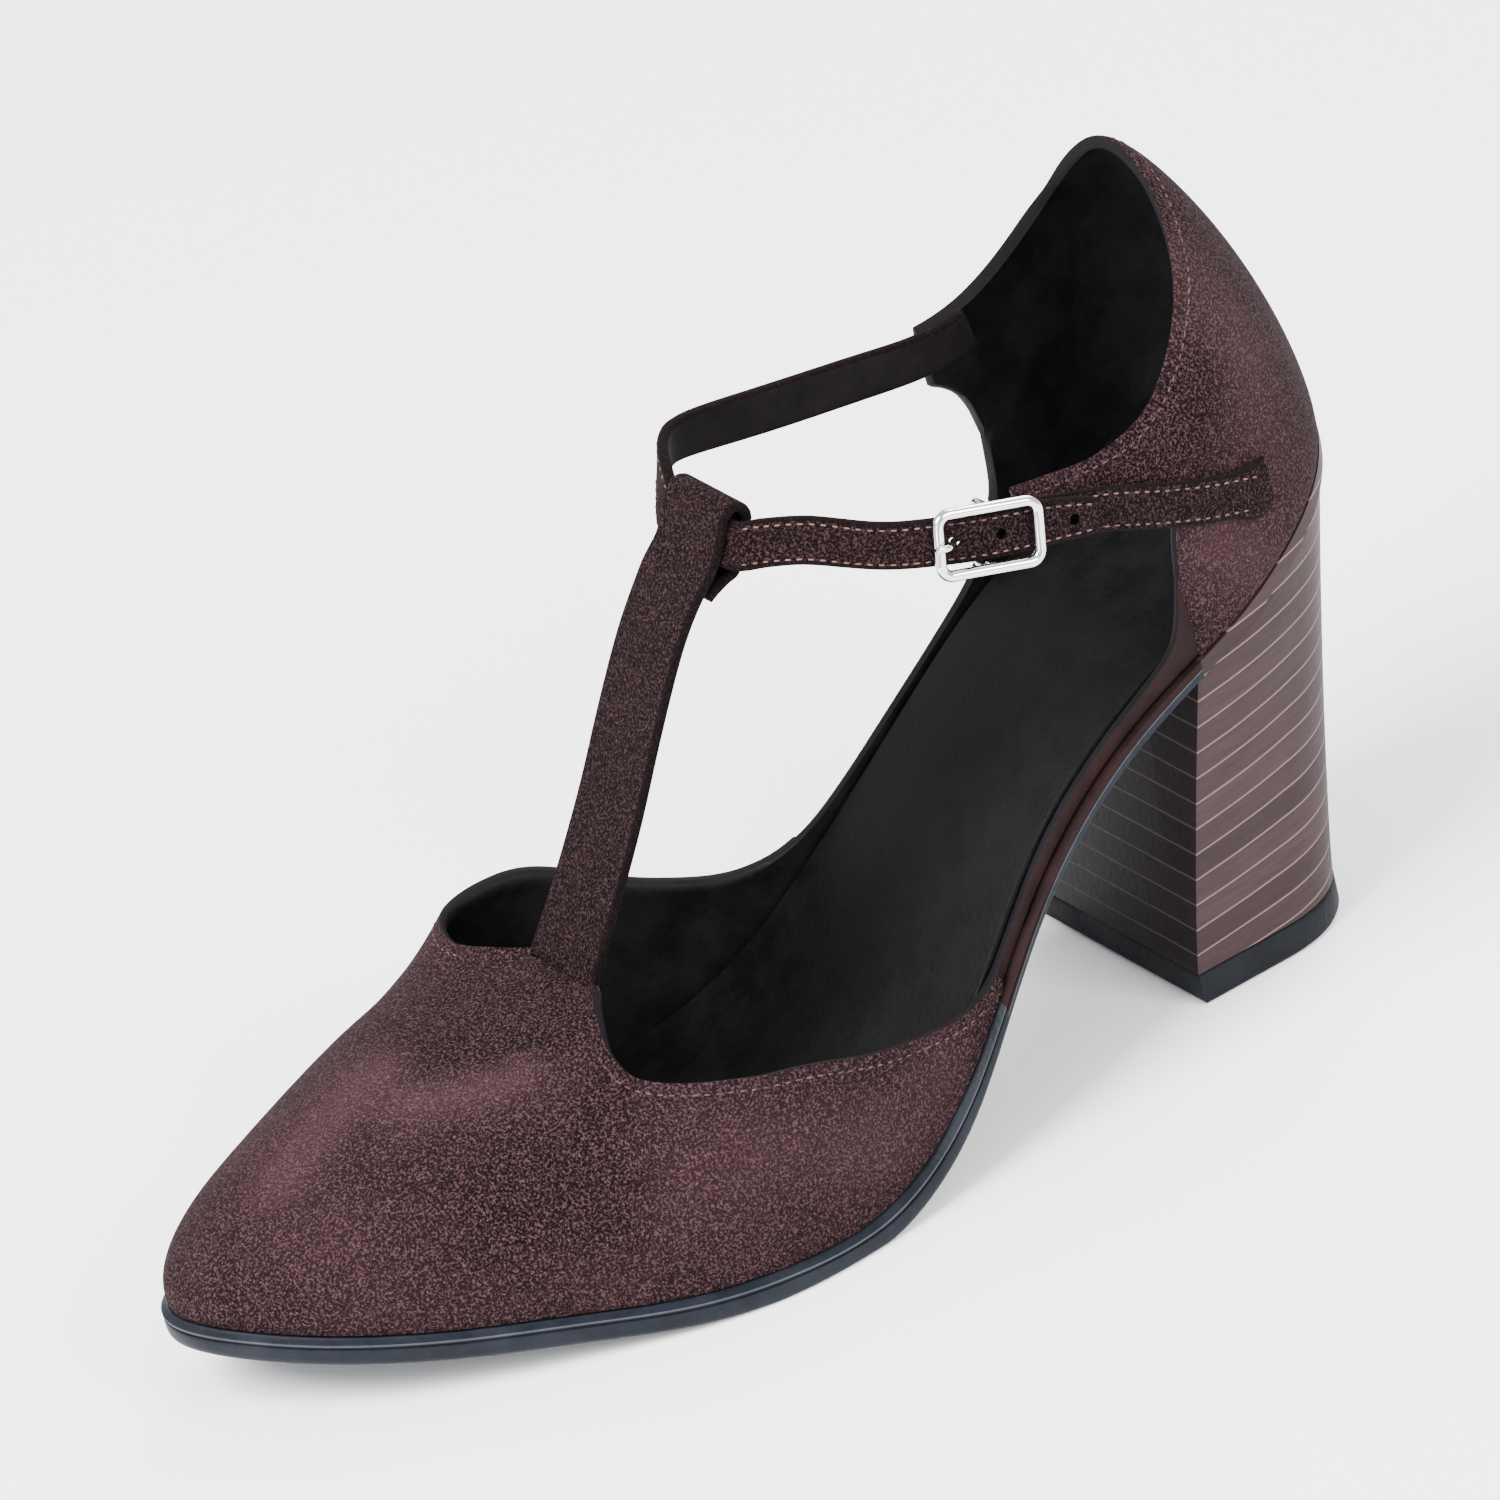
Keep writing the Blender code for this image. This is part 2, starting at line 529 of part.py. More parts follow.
def ankle_strap_stations():
    """The ankle strap from its free end at the buckle, round the front to the inner wing."""
    outer, outer_across, _ = along_line(OUTER_LINE, 1, 3)
    inner, inner_across, _ = along_line(INNER_LINE, -1, 2)
    front = FRONT_TOP - FRONT_UP * ANKLE_STRAP_WIDTH / 2
    sides = [front + np.array([shift, 0.0, 0.0]) for shift in (0.0092, 0.0, -0.0092)]
    centres = np.concatenate([outer, sides, inner[::-1]])
    across = np.concatenate([outer_across, [FRONT_UP] * 3, inner_across[::-1]])
    middle = len(outer) + 1
    for _ in range(4):
        centres[1:-1] = (centres[:-2] + 2.0 * centres[1:-1] + centres[2:]) / 4.0
        across[1:-1] = unit(across[:-2] + 2.0 * across[1:-1] + across[2:])
        centres[middle - 1:middle + 2] = sides
        across[middle - 1:middle + 2] = FRONT_UP
    tangent = unit(np.gradient(centres, axis=0))
    across = unit(across - tangent * np.sum(across * tangent, axis=-1, keepdims=True))
    out = np.cross(across, tangent)
    taper = np.array([0.70, 0.80, 0.84, 0.87, 0.90, 0.93, 0.96, 0.99])
    widths = np.full(len(centres), ANKLE_STRAP_WIDTH)
    widths[:len(taper)] *= taper
    return [Ribbon(c, a, o, w) for c, a, o, w in zip(centres, across, out, widths)]


BUCKLE_TURN = 4.58
RING_OUT = 0.0048
BAR_OUT = -0.0008


def buckle_frame():
    """Where the buckle sits: its middle on the last and its forward, upward and outward directions."""
    low, high = OUTER_LINE[3], OUTER_LINE[5]
    climb = OUTER_LINE[4].climb
    middle = last_point(BUCKLE_TURN, climb)
    out = surface_normal(BUCKLE_TURN, climb)
    forward = last_point(high.turn, high.climb) - last_point(low.turn, low.climb)
    forward = unit(forward - out * np.dot(forward, out))
    return middle, forward, np.cross(forward, out), out


def at_buckle(places):
    """Points from places in the buckle: forward, upward and outward."""
    middle, forward, upward, out = buckle_frame()
    places = np.asarray(places, float)
    return middle + places[:, :1] * forward + places[:, 1:2] * upward + places[:, 2:3] * out


def wire_object(name, points, radius, item_material, closed=False, sides=8):
    """A round wire along a path, either open with flat ends or closed."""
    points = np.asarray(points, float)
    before = np.roll(points, 1, 0) if closed else np.concatenate([[2 * points[0] - points[1]], points[:-1]])
    after = np.roll(points, -1, 0) if closed else np.concatenate([points[1:], [2 * points[-1] - points[-2]]])
    tangent = unit(after - before)
    normal = np.zeros_like(points)
    start = np.cross(tangent[0], buckle_frame()[2])
    normal[0] = unit(start if np.linalg.norm(start) > 0.2 else np.cross(tangent[0], buckle_frame()[3]))
    for k in range(1, len(points)):
        normal[k] = unit(normal[k - 1] - tangent[k] * np.dot(normal[k - 1], tangent[k]))
    binormal = np.cross(tangent, normal)
    angles = (np.arange(sides) + 0.5) * 2.0 * math.pi / sides
    rings = [
        points[k] + radius * (np.outer(np.cos(angles), normal[k]) + np.outer(np.sin(angles), binormal[k]))
        for k in range(len(points))
    ]
    if closed:
        shift = int(np.argmin([np.linalg.norm(rings[-1] - np.roll(rings[0], -n, 0)) for n in range(sides)]))
    faces = []
    for k in range(len(points) if closed else len(points) - 1):
        last = k == len(points) - 1
        for n in range(sides):
            m = (n + 1) % sides
            high = (0, (m + shift) % sides, (n + shift) % sides) if last else (k + 1, m, n)
            faces.append([k * sides + n, k * sides + m, high[0] * sides + high[1], high[0] * sides + high[2]])
    if not closed:
        faces.append(list(range(sides))[::-1])
        faces.append([(len(points) - 1) * sides + n for n in range(sides)])
    return mesh_object(name, np.concatenate(rings), faces, item_material)


def combine(target, tools, operation):
    """Joins or cuts a piece with tool solids and removes the tools."""
    for tool in tools:
        modifier = target.modifiers.new("tool", "BOOLEAN")
        modifier.operation = operation
        modifier.solver = "EXACT"
        modifier.object = tool
    bpy.context.view_layer.update()
    depsgraph = bpy.context.evaluated_depsgraph_get()
    mesh = bpy.data.meshes.new_from_object(target.evaluated_get(depsgraph), depsgraph=depsgraph)
    target.modifiers.clear()
    target.data = mesh
    for tool in tools:
        bpy.data.objects.remove(tool, do_unlink=True)
    return target


def build_frame(item_material):
    """The frame: a rounded ring over the strap and a centre bar that passes under it."""
    half = (BUCKLE_LENGTH - BUCKLE_WIRE) / 2
    tall = (BUCKLE_HEIGHT - BUCKLE_WIRE) / 2
    corner = BUCKLE_CORNER - BUCKLE_WIRE / 2
    ring = []
    for turn, (x, y) in enumerate(((1, 1), (-1, 1), (-1, -1), (1, -1))):
        for angle in np.linspace(0.0, math.pi / 2, 5) + turn * math.pi / 2:
            forward = x * (half - corner) + corner * math.cos(angle)
            ring.append((forward, y * (tall - corner) + corner * math.sin(angle), RING_OUT))
    frame = wire_object("buckle_frame", at_buckle(ring), BUCKLE_WIRE / 2, item_material, closed=True)
    low = BAR_OUT
    bar = [(0, tall, RING_OUT), (0, tall, low + 0.0012), (0, tall - 0.0004, low + 0.0004), (0, tall - 0.0012, low)]
    bar += [(0, -up, out) for _, up, out in bar[::-1]]
    tool = wire_object("bar", at_buckle(bar), BAR_WIRE / 2, item_material)
    return combine(frame, [tool], "UNION")


# The prong's path beside the bar: forward and outward.
Bend = namedtuple("Bend", "forward out")
PRONG_LINE = (
    Bend(0.0020, 0.0009), Bend(0.0034, 0.0010), Bend(0.0045, 0.0019), Bend(0.0053, 0.0034), Bend(0.0061, 0.0050),
    Bend(0.0073, 0.00625), Bend(0.0082, 0.00645), Bend(0.0095, 0.0065),
)
PRONG_LOOP = 0.00165


def build_prong(item_material):
    """The prong, with its loop behind the bar and its tip over the frame's front."""
    angles = np.radians(np.linspace(380.0, 90.0, 14))
    loop = [(PRONG_LOOP * math.cos(a), 0.0, BAR_OUT + PRONG_LOOP * math.sin(a)) for a in angles]
    line = [(bend.forward, 0.0, bend.out) for bend in PRONG_LINE]
    return wire_object("buckle_prong", at_buckle(loop + line), PRONG_WIRE / 2, item_material)


def prong_room(item_material):
    """The prong's room: its full loop and its path, each with the gap round it."""
    angles = np.arange(16) * math.pi / 8
    loop = [(PRONG_LOOP * math.cos(a), 0.0, BAR_OUT + PRONG_LOOP * math.sin(a)) for a in angles]
    round_bar = wire_object("loop", at_buckle(loop), PRONG_WIRE / 2 + GAP, item_material, closed=True)
    line = [(0.0, 0.0, BAR_OUT + PRONG_LOOP)] + [(bend.forward, 0.0, bend.out) for bend in PRONG_LINE]
    return round_bar, wire_object("path", at_buckle(line), PRONG_WIRE / 2 + GAP, item_material)


def build_buckle_strap(item_material):
    """The short strap from the counter to the buckle, folded round the bar, with a slot for the prong."""
    centres, across, _ = along_line(TAB_LINE, 1, 2)
    reach = BAR_WIRE / 2 + GAP + TAB_THICK / 2
    fold = [(-0.0030, 0.0, 0.0009)]
    angles = np.radians(np.linspace(90.0, -90.0, 9))
    fold += [(reach * math.cos(a), 0.0, BAR_OUT + reach * math.sin(a)) for a in angles]
    fold += [(-0.0030, 0.0, BAR_OUT - reach), (-0.0054, 0.0, BAR_OUT - reach)]
    centres = np.concatenate([centres, at_buckle(fold)])
    across = np.concatenate([across, [buckle_frame()[2]] * len(fold)])
    tangent = unit(np.gradient(centres, axis=0))
    across = unit(across - tangent * np.sum(across * tangent, axis=-1, keepdims=True))
    out = np.cross(across, tangent)
    widths = np.full(len(centres), TAB_WIDTH)
    widths[:3] *= (0.3, 0.7, 0.95)
    stations = [Ribbon(c, a, o, w) for c, a, o, w in zip(centres, across, out, widths)]
    strap = ribbon_object("buckle_strap", stations, TAB_THICK, item_material)
    round_bar, path = prong_room(item_material)
    bpy.data.objects.remove(path, do_unlink=True)
    return combine(strap, [round_bar], "DIFFERENCE")


def build_ankle_strap(item_material):
    """The ankle strap with its row of holes, one of them round the prong."""
    strap = ribbon_object("ankle_strap", ankle_strap_stations(), ANKLE_STRAP_THICK, item_material)
    round_bar, path = prong_room(item_material)
    bpy.data.objects.remove(round_bar, do_unlink=True)
    tools = [path]
    for number in (1, 2, 3):
        forward = HOLE_FIRST - HOLE_PITCH * number
        ends = [(forward, 0.0, 0.0003), (forward, 0.0, 0.0045)]
        tools.append(wire_object("hole", at_buckle(ends), HOLE_RADIUS, item_material, sides=10))
    return combine(strap, tools, "DIFFERENCE")


def material(name, colour, roughness, metallic=0.0):
    """A plain Principled material."""
    item = bpy.data.materials.new(name)
    item.use_nodes = True
    shader = item.node_tree.nodes["Principled BSDF"]
    shader.inputs["Base Color"].default_value = (*colour, 1.0)
    shader.inputs["Roughness"].default_value = roughness
    shader.inputs["Metallic"].default_value = metallic
    item.diffuse_color = (*colour, 1.0)
    return item


def main():
    """Empties the scene and builds the shoe."""
    for item in list(bpy.data.objects):
        bpy.data.objects.remove(item, do_unlink=True)
    suede = material("suede", (0.055, 0.026, 0.028), 0.9)
    sock = material("sock", (0.01, 0.01, 0.011), 0.5)
    rubber = material("rubber", (0.012, 0.013, 0.017), 0.45)
    stack = material("stack", (0.08, 0.045, 0.035), 0.45)
    nickel = material("nickel", (0.75, 0.75, 0.74), 0.15, 1.0)
    pieces = [
        thick_sheet("upper", (lower_rows(), upper_rows()), UPPER_WALL, suede),
        build_outsole(rubber),
        build_insole(sock),
        build_heel(stack),
        build_top_piece(rubber),
        ribbon_object("t_strap", t_strap_stations(), T_STRAP_THICK, suede),
        build_ankle_strap(suede),
        build_buckle_strap(suede),
        build_frame(nickel),
        build_prong(nickel),
    ]
    shoe = bpy.data.objects.new("shoe", None)
    bpy.context.scene.collection.objects.link(shoe)
    corners = np.array([vertex.co for piece in pieces for vertex in piece.data.vertices])
    middle = (corners.min(axis=0) + corners.max(axis=0)) / 2
    centring = Matrix.Translation(Vector((-middle[0], -middle[1], 0.0)))
    for piece in pieces:
        piece.data.transform(centring)
        piece.parent = shoe


main()
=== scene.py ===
"""A left T strap shoe in suede with a stacked block heel, dressed for a photograph.

Metres, +Z up. The toe points to -Y and +X is the outer side of the foot. Shapes are worked out on the last,
in the last's own frame, and moved to the frame of the CAD model as they become meshes.
"""

import math
from collections import namedtuple

import bmesh
import bpy
import numpy as np
from mathutils import Matrix, Vector


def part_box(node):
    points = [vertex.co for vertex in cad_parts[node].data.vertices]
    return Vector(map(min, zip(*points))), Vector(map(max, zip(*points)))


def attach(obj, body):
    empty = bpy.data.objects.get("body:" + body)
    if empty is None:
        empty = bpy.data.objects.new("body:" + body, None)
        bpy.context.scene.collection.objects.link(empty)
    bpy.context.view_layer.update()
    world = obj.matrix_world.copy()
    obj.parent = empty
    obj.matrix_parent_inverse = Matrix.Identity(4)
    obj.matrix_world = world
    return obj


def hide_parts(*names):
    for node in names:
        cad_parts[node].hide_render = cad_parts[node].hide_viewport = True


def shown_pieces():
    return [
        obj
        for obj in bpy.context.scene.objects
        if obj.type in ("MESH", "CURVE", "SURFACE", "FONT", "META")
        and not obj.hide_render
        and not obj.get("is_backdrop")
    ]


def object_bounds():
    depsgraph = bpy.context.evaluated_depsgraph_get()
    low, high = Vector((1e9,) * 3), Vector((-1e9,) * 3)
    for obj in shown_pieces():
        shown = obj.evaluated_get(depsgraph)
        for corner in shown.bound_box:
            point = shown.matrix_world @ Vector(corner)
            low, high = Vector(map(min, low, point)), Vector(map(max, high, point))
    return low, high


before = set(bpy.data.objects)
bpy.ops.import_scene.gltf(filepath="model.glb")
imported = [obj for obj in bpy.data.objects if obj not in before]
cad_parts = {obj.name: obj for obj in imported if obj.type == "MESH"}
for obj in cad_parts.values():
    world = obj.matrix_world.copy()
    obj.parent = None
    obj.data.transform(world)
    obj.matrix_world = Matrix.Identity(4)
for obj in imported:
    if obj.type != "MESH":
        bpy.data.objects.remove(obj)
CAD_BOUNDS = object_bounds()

bl_info = {
    "name": "T strap shoe",
    "version": (1, 0, 0),
    "blender": (4, 5, 0),
    "location": "3D View > Sidebar > Shoe",
    "description": "Builds a suede T strap shoe with its stitches and a plain studio",
    "category": "Add Mesh",
}

# Last
LAST_LENGTH = 0.2180
BALL_WIDTH = 0.0820
ANKLE_HEIGHT = 0.1120
HEEL_SEAT_HEIGHT = 0.0790
COUNTER_BULGE = 0.0060

# Bottom
OUTSOLE_FORE = 0.0045
OUTSOLE_WAIST = 0.0026
OUTSOLE_MARGIN = 0.0014
SEAT_MARGIN = 0.0002
INSOLE_THICK = 0.0030
SHANK_TURNS = (4.8, 6.4)
MARGIN_TURNS = (2.5, 6.0)
# Where the outsole's seam and groove begin and are full, and where the seat ends under the counter.
WELT_TURNS = (4.85, 5.60)
SEAT_END = 3.36

# Heel
HEEL_FOOT_WIDTH = 0.0480
HEEL_FOOT_LENGTH = 0.0354
HEEL_FOOT_BACK = 0.0186
HEEL_ROUND = 0.0005
HEEL_ROUND_POWER = 0.85
# The round back takes this share of the heel foot's outline, and this share of its length.
BACK_SHARE = 0.62
BACK_LENGTH = 0.55
SEAT_INSET = 0.0004
FLARE_POWER = 1.1
BREAST_TURN = 3.45
TOP_PIECE_THICK = 0.0055

# Leather
UPPER_WALL = 0.0020
RIM_WALL = 0.0012
RIM_ROUND = 0.00045
BAND_RECESS = 0.0006
T_STRAP_THICK = 0.0016
ANKLE_STRAP_WIDTH = 0.0076
ANKLE_STRAP_THICK = 0.0018
TAB_THICK = 0.0012
TAB_WIDTH = 0.0072

# Buckle
BUCKLE_LENGTH = 0.0182
BUCKLE_HEIGHT = 0.0114
BUCKLE_CORNER = 0.0028
BUCKLE_WIRE = 0.0018
BAR_WIRE = 0.0014
PRONG_WIRE = 0.0011
HOLE_PITCH = 0.0062
HOLE_FIRST = 0.0036
HOLE_RADIUS = 0.0009
# The empty holes behind the prong, and where each tool that cuts one starts and ends over the last.
HOLES = 3
HOLE_ENDS = (0.0003, 0.0045)
GAP = 0.0003

# The last's middle line in the CAD frame: the top piece's back lies HEEL_FOOT_BACK in front of the heel.
FOOT_LOW, FOOT_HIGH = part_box("top_piece")
SHIFT = np.array([(FOOT_LOW.x + FOOT_HIGH.x) / 2, FOOT_HIGH.y + HEEL_FOOT_BACK, 0.0])

Section = namedtuple(
    "Section", "back outer inner rise crown over under top low power full slope bulge swell")
# A section of the last is given by these numbers.
# back: distance of the feather edge from the heel over the length.
# outer, inner: the feather edge's sides over half the ball.
# rise: height of the feather edge over the heel seat.
# crown: distance of the crown from the heel over the length.
# over, under: sideways place of the crown on the outer and inner side over half the ball.
# top, low: height of the outer and inner crown over the ankle.
# power, full: roundness of the outer and inner side.
# slope: fall of the crown to the toe.
# bulge, swell: roundness of the outer and inner wall over the counter's bulge.
LAST = (
    Section(0.002, 0.00, 0.00, 1.000, 0.079, 0.00, 0.00, 1.13, 1.13, 1.35, 1.35, 0.00, 0.27, 0.27),
    Section(0.019, 0.31, -0.34, 0.975, 0.091, 0.23, -0.20, 1.08, 1.15, 1.35, 1.35, 0.00, 0.31, 0.31),
    Section(0.068, 0.57, -0.58, 0.905, 0.124, 0.49, -0.46, 1.00, 1.04, 1.29, 1.29, 0.00, 0.45, 0.45),
    Section(0.155, 0.69, -0.62, 0.791, 0.183, 0.63, -0.60, 0.90, 0.94, 1.21, 1.21, 0.00, 0.34, 0.34),
    Section(0.257, 0.71, -0.55, 0.684, 0.269, 0.66, -0.64, 0.89, 0.93, 1.20, 1.20, 0.00, 0.23, 0.23),
    Section(0.367, 0.76, -0.51, 0.487, 0.385, 0.55, -0.60, 0.93, 0.97, 1.20, 1.20, 0.00, 0.20, 0.20),
    Section(0.468, 0.85, -0.70, 0.209, 0.454, 0.32, -0.41, 0.97, 0.98, 1.30, 1.40, 0.00, 0.20, 0.30),
    Section(0.560, 0.92, -0.93, 0.067, 0.514, 0.17, -0.27, 0.86, 0.86, 1.50, 1.80, 0.00, 0.20, 0.55),
    Section(0.642, 0.93, -1.03, 0.058, 0.601, 0.11, -0.30, 0.60, 0.60, 1.70, 2.25, 0.00, 0.20, 0.80),
    Section(0.716, 0.83, -1.04, 0.071, 0.651, 0.08, -0.34, 0.43, 0.43, 1.85, 2.55, 0.08, 0.25, 0.90),
    Section(0.789, 0.66, -1.00, 0.104, 0.665, 0.05, -0.35, 0.39, 0.39, 1.95, 2.65, 0.18, 0.25, 0.85),
    Section(0.862, 0.46, -0.90, 0.137, 0.665, 0.01, -0.30, 0.39, 0.39, 2.02, 2.60, 0.28, 0.30, 0.75),
    Section(0.927, 0.23, -0.77, 0.172, 0.665, -0.05, -0.26, 0.39, 0.39, 2.10, 2.45, 0.35, 0.30, 0.60),
    Section(0.974, -0.05, -0.63, 0.195, 0.665, -0.10, -0.20, 0.39, 0.39, 2.18, 2.35, 0.38, 0.35, 0.45),
    Section(1.000, -0.38, -0.38, 0.206, 0.665, -0.15, -0.15, 0.39, 0.39, 2.25, 2.25, 0.40, 0.35, 0.35),
)
ROWS = len(LAST)
TOE = ROWS - 1.0
LOOP = 2 * (ROWS - 1)


def closed_spline(values):
    """Second differences of the smooth closed curve through evenly numbered values."""
    count = len(values)
    matrix = 4.0 * np.eye(count) + np.roll(np.eye(count), 1, 0) + np.roll(np.eye(count), -1, 0)
    bend = 6.0 * (np.roll(values, -1, 0) - 2.0 * values + np.roll(values, 1, 0))
    return np.linalg.solve(matrix, bend)


def loop_values():
    """The last's columns as one closed loop: outer side from heel to toe, then inner side back."""
    outer = [(r.outer, r.back, r.rise, r.over, r.crown, r.top, r.power, r.slope, r.bulge) for r in LAST]
    inner = [(r.inner, r.back, r.rise, r.under, r.crown, r.low, r.full, r.slope, r.swell) for r in LAST]
    values = np.array(outer + inner[-2:0:-1])
    half = BALL_WIDTH / 2
    scale = (half, LAST_LENGTH, HEEL_SEAT_HEIGHT, half, LAST_LENGTH, ANKLE_HEIGHT, 1, 1, COUNTER_BULGE)
    return values * np.array(scale)


VALUES = loop_values()
BENDS = closed_spline(VALUES)


def around(turn):
    """The last's columns at a place on the loop: 0 is the heel's back and TOE the toe's tip."""
    turn = np.asarray(turn, float) % LOOP
    low = np.floor(turn).astype(int) % LOOP
    high = (low + 1) % LOOP
    b = (turn - np.floor(turn))[..., None]
    a = 1.0 - b
    cubic = (a ** 3 - a) * BENDS[low] + (b ** 3 - b) * BENDS[high]
    return a * VALUES[low] + b * VALUES[high] + cubic / 6.0


def outline_normal(turn):
    """Unit vector that points out of the last in plan."""
    step = around(np.asarray(turn) + 0.02) - around(np.asarray(turn) - 0.02)
    normal = np.stack([step[..., 1], step[..., 0]], -1)
    return normal / np.linalg.norm(normal, axis=-1, keepdims=True)


def last_point(turn, climb):
    """A point of the last: climb is 0 at the feather edge and 1 at the crown."""
    turn, climb = np.broadcast_arrays(np.asarray(turn, float), np.asarray(climb, float))
    side, back, rise, over, crown, height, power, slope, swell = np.moveaxis(around(turn), -1, 0)
    angle = np.clip(climb, 0.0, 1.0) * math.pi / 2
    inward = 1.0 - np.cos(angle) ** (2.0 / power)
    upward = (1.0 - slope) * np.sin(angle) ** (2.0 / power) + slope * inward
    normal = outline_normal(turn)
    bulge = swell * np.sin(2.0 * angle)
    x = side + (over - side) * inward + normal[..., 0] * bulge
    y = -back - (crown - back) * inward + normal[..., 1] * bulge
    z = rise + (height - rise) * upward
    return np.stack([x, y, z], -1)


def surface_normal(turn, climb):
    """Unit vector out of the last at a place of its surface."""
    climb = np.clip(np.asarray(climb, float), 0.02, 0.98)
    along = last_point(np.asarray(turn) + 0.01, climb) - last_point(np.asarray(turn) - 0.01, climb)
    upward = last_point(turn, climb + 0.02) - last_point(turn, climb - 0.02)
    normal = np.cross(upward, along)
    return normal / np.linalg.norm(normal, axis=-1, keepdims=True)


Edge = namedtuple("Edge", "turn outer inner")
# How far the upper climbs on the outer and inner side, from the cut-out's rear end to the throat.
TOP_EDGE = (
    Edge(3.24, 0.515, 0.430), Edge(3.32, 0.447, 0.315), Edge(3.41, 0.337, 0.262),
    Edge(3.58, 0.190, 0.200), Edge(3.85, 0.140, 0.140), Edge(4.25, 0.120, 0.112),
    Edge(4.80, 0.110, 0.110), Edge(5.30, 0.088, 0.118), Edge(5.60, 0.092, 0.137),
    Edge(5.90, 0.137, 0.165), Edge(6.30, 0.188, 0.200), Edge(7.00, 0.248, 0.255),
    Edge(7.70, 0.320, 0.345), Edge(8.10, 0.382, 0.415), Edge(8.45, 0.452, 0.505),
    Edge(8.80, 0.535, 0.630), Edge(9.05, 0.605, 0.725), Edge(9.20, 0.670, 0.785),
    Edge(9.32, 0.745, 0.845), Edge(9.43, 0.870, 0.925), Edge(9.55, 1.000, 1.000),
)
# The counter's wing: its lower edge from the cut-out's rear end forward, and where its tip meets the collar.
Wing = namedtuple("Wing", "turn climb")
OUTER_WING = (Wing(3.24, 0.515), Wing(3.46, 0.568), Wing(3.74, 0.618), Wing(4.02, 0.658), Wing(4.29, 0.70))
INNER_WING = (Wing(3.24, 0.43), Wing(3.25, 0.49), Wing(3.31, 0.563), Wing(3.42, 0.615), Wing(3.52, 0.645))
WING_TIPS = (4.27, 3.47)
WING_COLUMNS = (24, 16)
CUT_OUT_END = 3.24
# The smooth band along the waist starts under the counter's front and ends under the vamp's rear end.
BAND_TURNS = (3.38, 5.52)
SEAM = 0.012
ROWS_BELOW = 30
ROWS_ABOVE = 22


def steps(*spans):
    """Turns from one place to the next: each span is an end and its number of steps."""
    values = [spans[0]]
    for end, count in spans[1:]:
        values += list(np.linspace(values[-1], end, count + 1)[1:])
    return np.array(values)


COUNTER_TURNS = steps(0.0, (CUT_OUT_END, 36))
SIDE_TURNS = steps(
    CUT_OUT_END, (BAND_TURNS[0], 5), (BAND_TURNS[0] + SEAM, 1), (3.60, 6), (4.0, 6), (5.2, 12),
    (BAND_TURNS[1] - SEAM, 5), (BAND_TURNS[1], 1), (9.05, 56), (9.55, 20), (TOE, 44),
)


def joint_climb(turn, side):
    """Height of the line where the counter's lower and upper rows meet."""
    end = OUTER_WING[0].climb if side > 0 else INNER_WING[0].climb
    middle = (OUTER_WING[0].climb + INNER_WING[0].climb) / 2
    return middle + (end - middle) * turn / CUT_OUT_END


def smooth_path(points, per_step):
    """A smooth curve through points, with the same number of parts between each two."""
    points = np.asarray(points, float)
    padded = np.concatenate([[2 * points[0] - points[1]], points, [2 * points[-1] - points[-2]]])
    result = []
    for p0, p1, p2, p3 in zip(padded[:-3], padded[1:-2], padded[2:-1], padded[3:]):
        for t in np.arange(per_step) / per_step:
            bend = (2 * p0 - 5 * p1 + 4 * p2 - p3) * t * t + (3 * p1 - p0 - 3 * p2 + p3) * t ** 3
            result.append(0.5 * (2 * p1 + (p2 - p0) * t + bend))
    return np.array(result + [points[-1]])


TOP_CURVE = smooth_path(TOP_EDGE, 8)
WING_CURVES = {1: smooth_path(OUTER_WING, 6), -1: smooth_path(INNER_WING, 6)}


def top_climb(turn, side):
    """How far the lower rows climb at a turn of the outer (1) or inner (-1) side."""
    if turn <= CUT_OUT_END:
        return joint_climb(turn, side)
    return float(np.interp(turn, TOP_CURVE[:, 0], TOP_CURVE[:, 1 if side > 0 else 2]))


def signed(turn, side):
    """A turn of one side as a turn on the whole loop."""
    return turn if side > 0 else LOOP - turn


def unit(vector):
    """The vector with length one."""
    vector = np.asarray(vector, float)
    return vector / np.linalg.norm(vector, axis=-1, keepdims=True)


def mesh_object(name, points, faces, materials, kinds=None, sharp=40.0):
    """One smooth object from points in the last's frame, with its faces turned outward."""
    mesh = bpy.data.meshes.new(name)
    mesh.from_pydata([tuple(point) for point in np.asarray(points) + SHIFT], [], faces)
    for item in materials:
        mesh.materials.append(item)
    if kinds is not None:
        mesh.polygons.foreach_set("material_index", kinds)
    work = bmesh.new()
    work.from_mesh(mesh)
    bmesh.ops.remove_doubles(work, verts=work.verts, dist=1e-6)
    bmesh.ops.recalc_face_normals(work, faces=work.faces)
    work.to_mesh(mesh)
    work.free()
    mesh.polygons.foreach_set("use_smooth", [True] * len(mesh.polygons))
    mesh.set_sharp_from_angle(angle=math.radians(sharp))
    item = bpy.data.objects.new(name, mesh)
    bpy.context.scene.collection.objects.link(item)
    return item


def soften(item, width, angle, kind=-1):
    """Rounds a piece's hard edges and bakes the rounding into its mesh. kind is the rounding's material."""
    modifier = item.modifiers.new("round", "BEVEL")
    modifier.width = width
    modifier.segments = 2
    modifier.limit_method = "ANGLE"
    modifier.angle_limit = math.radians(angle)
    modifier.material = kind
    return bake(item, 60.0)


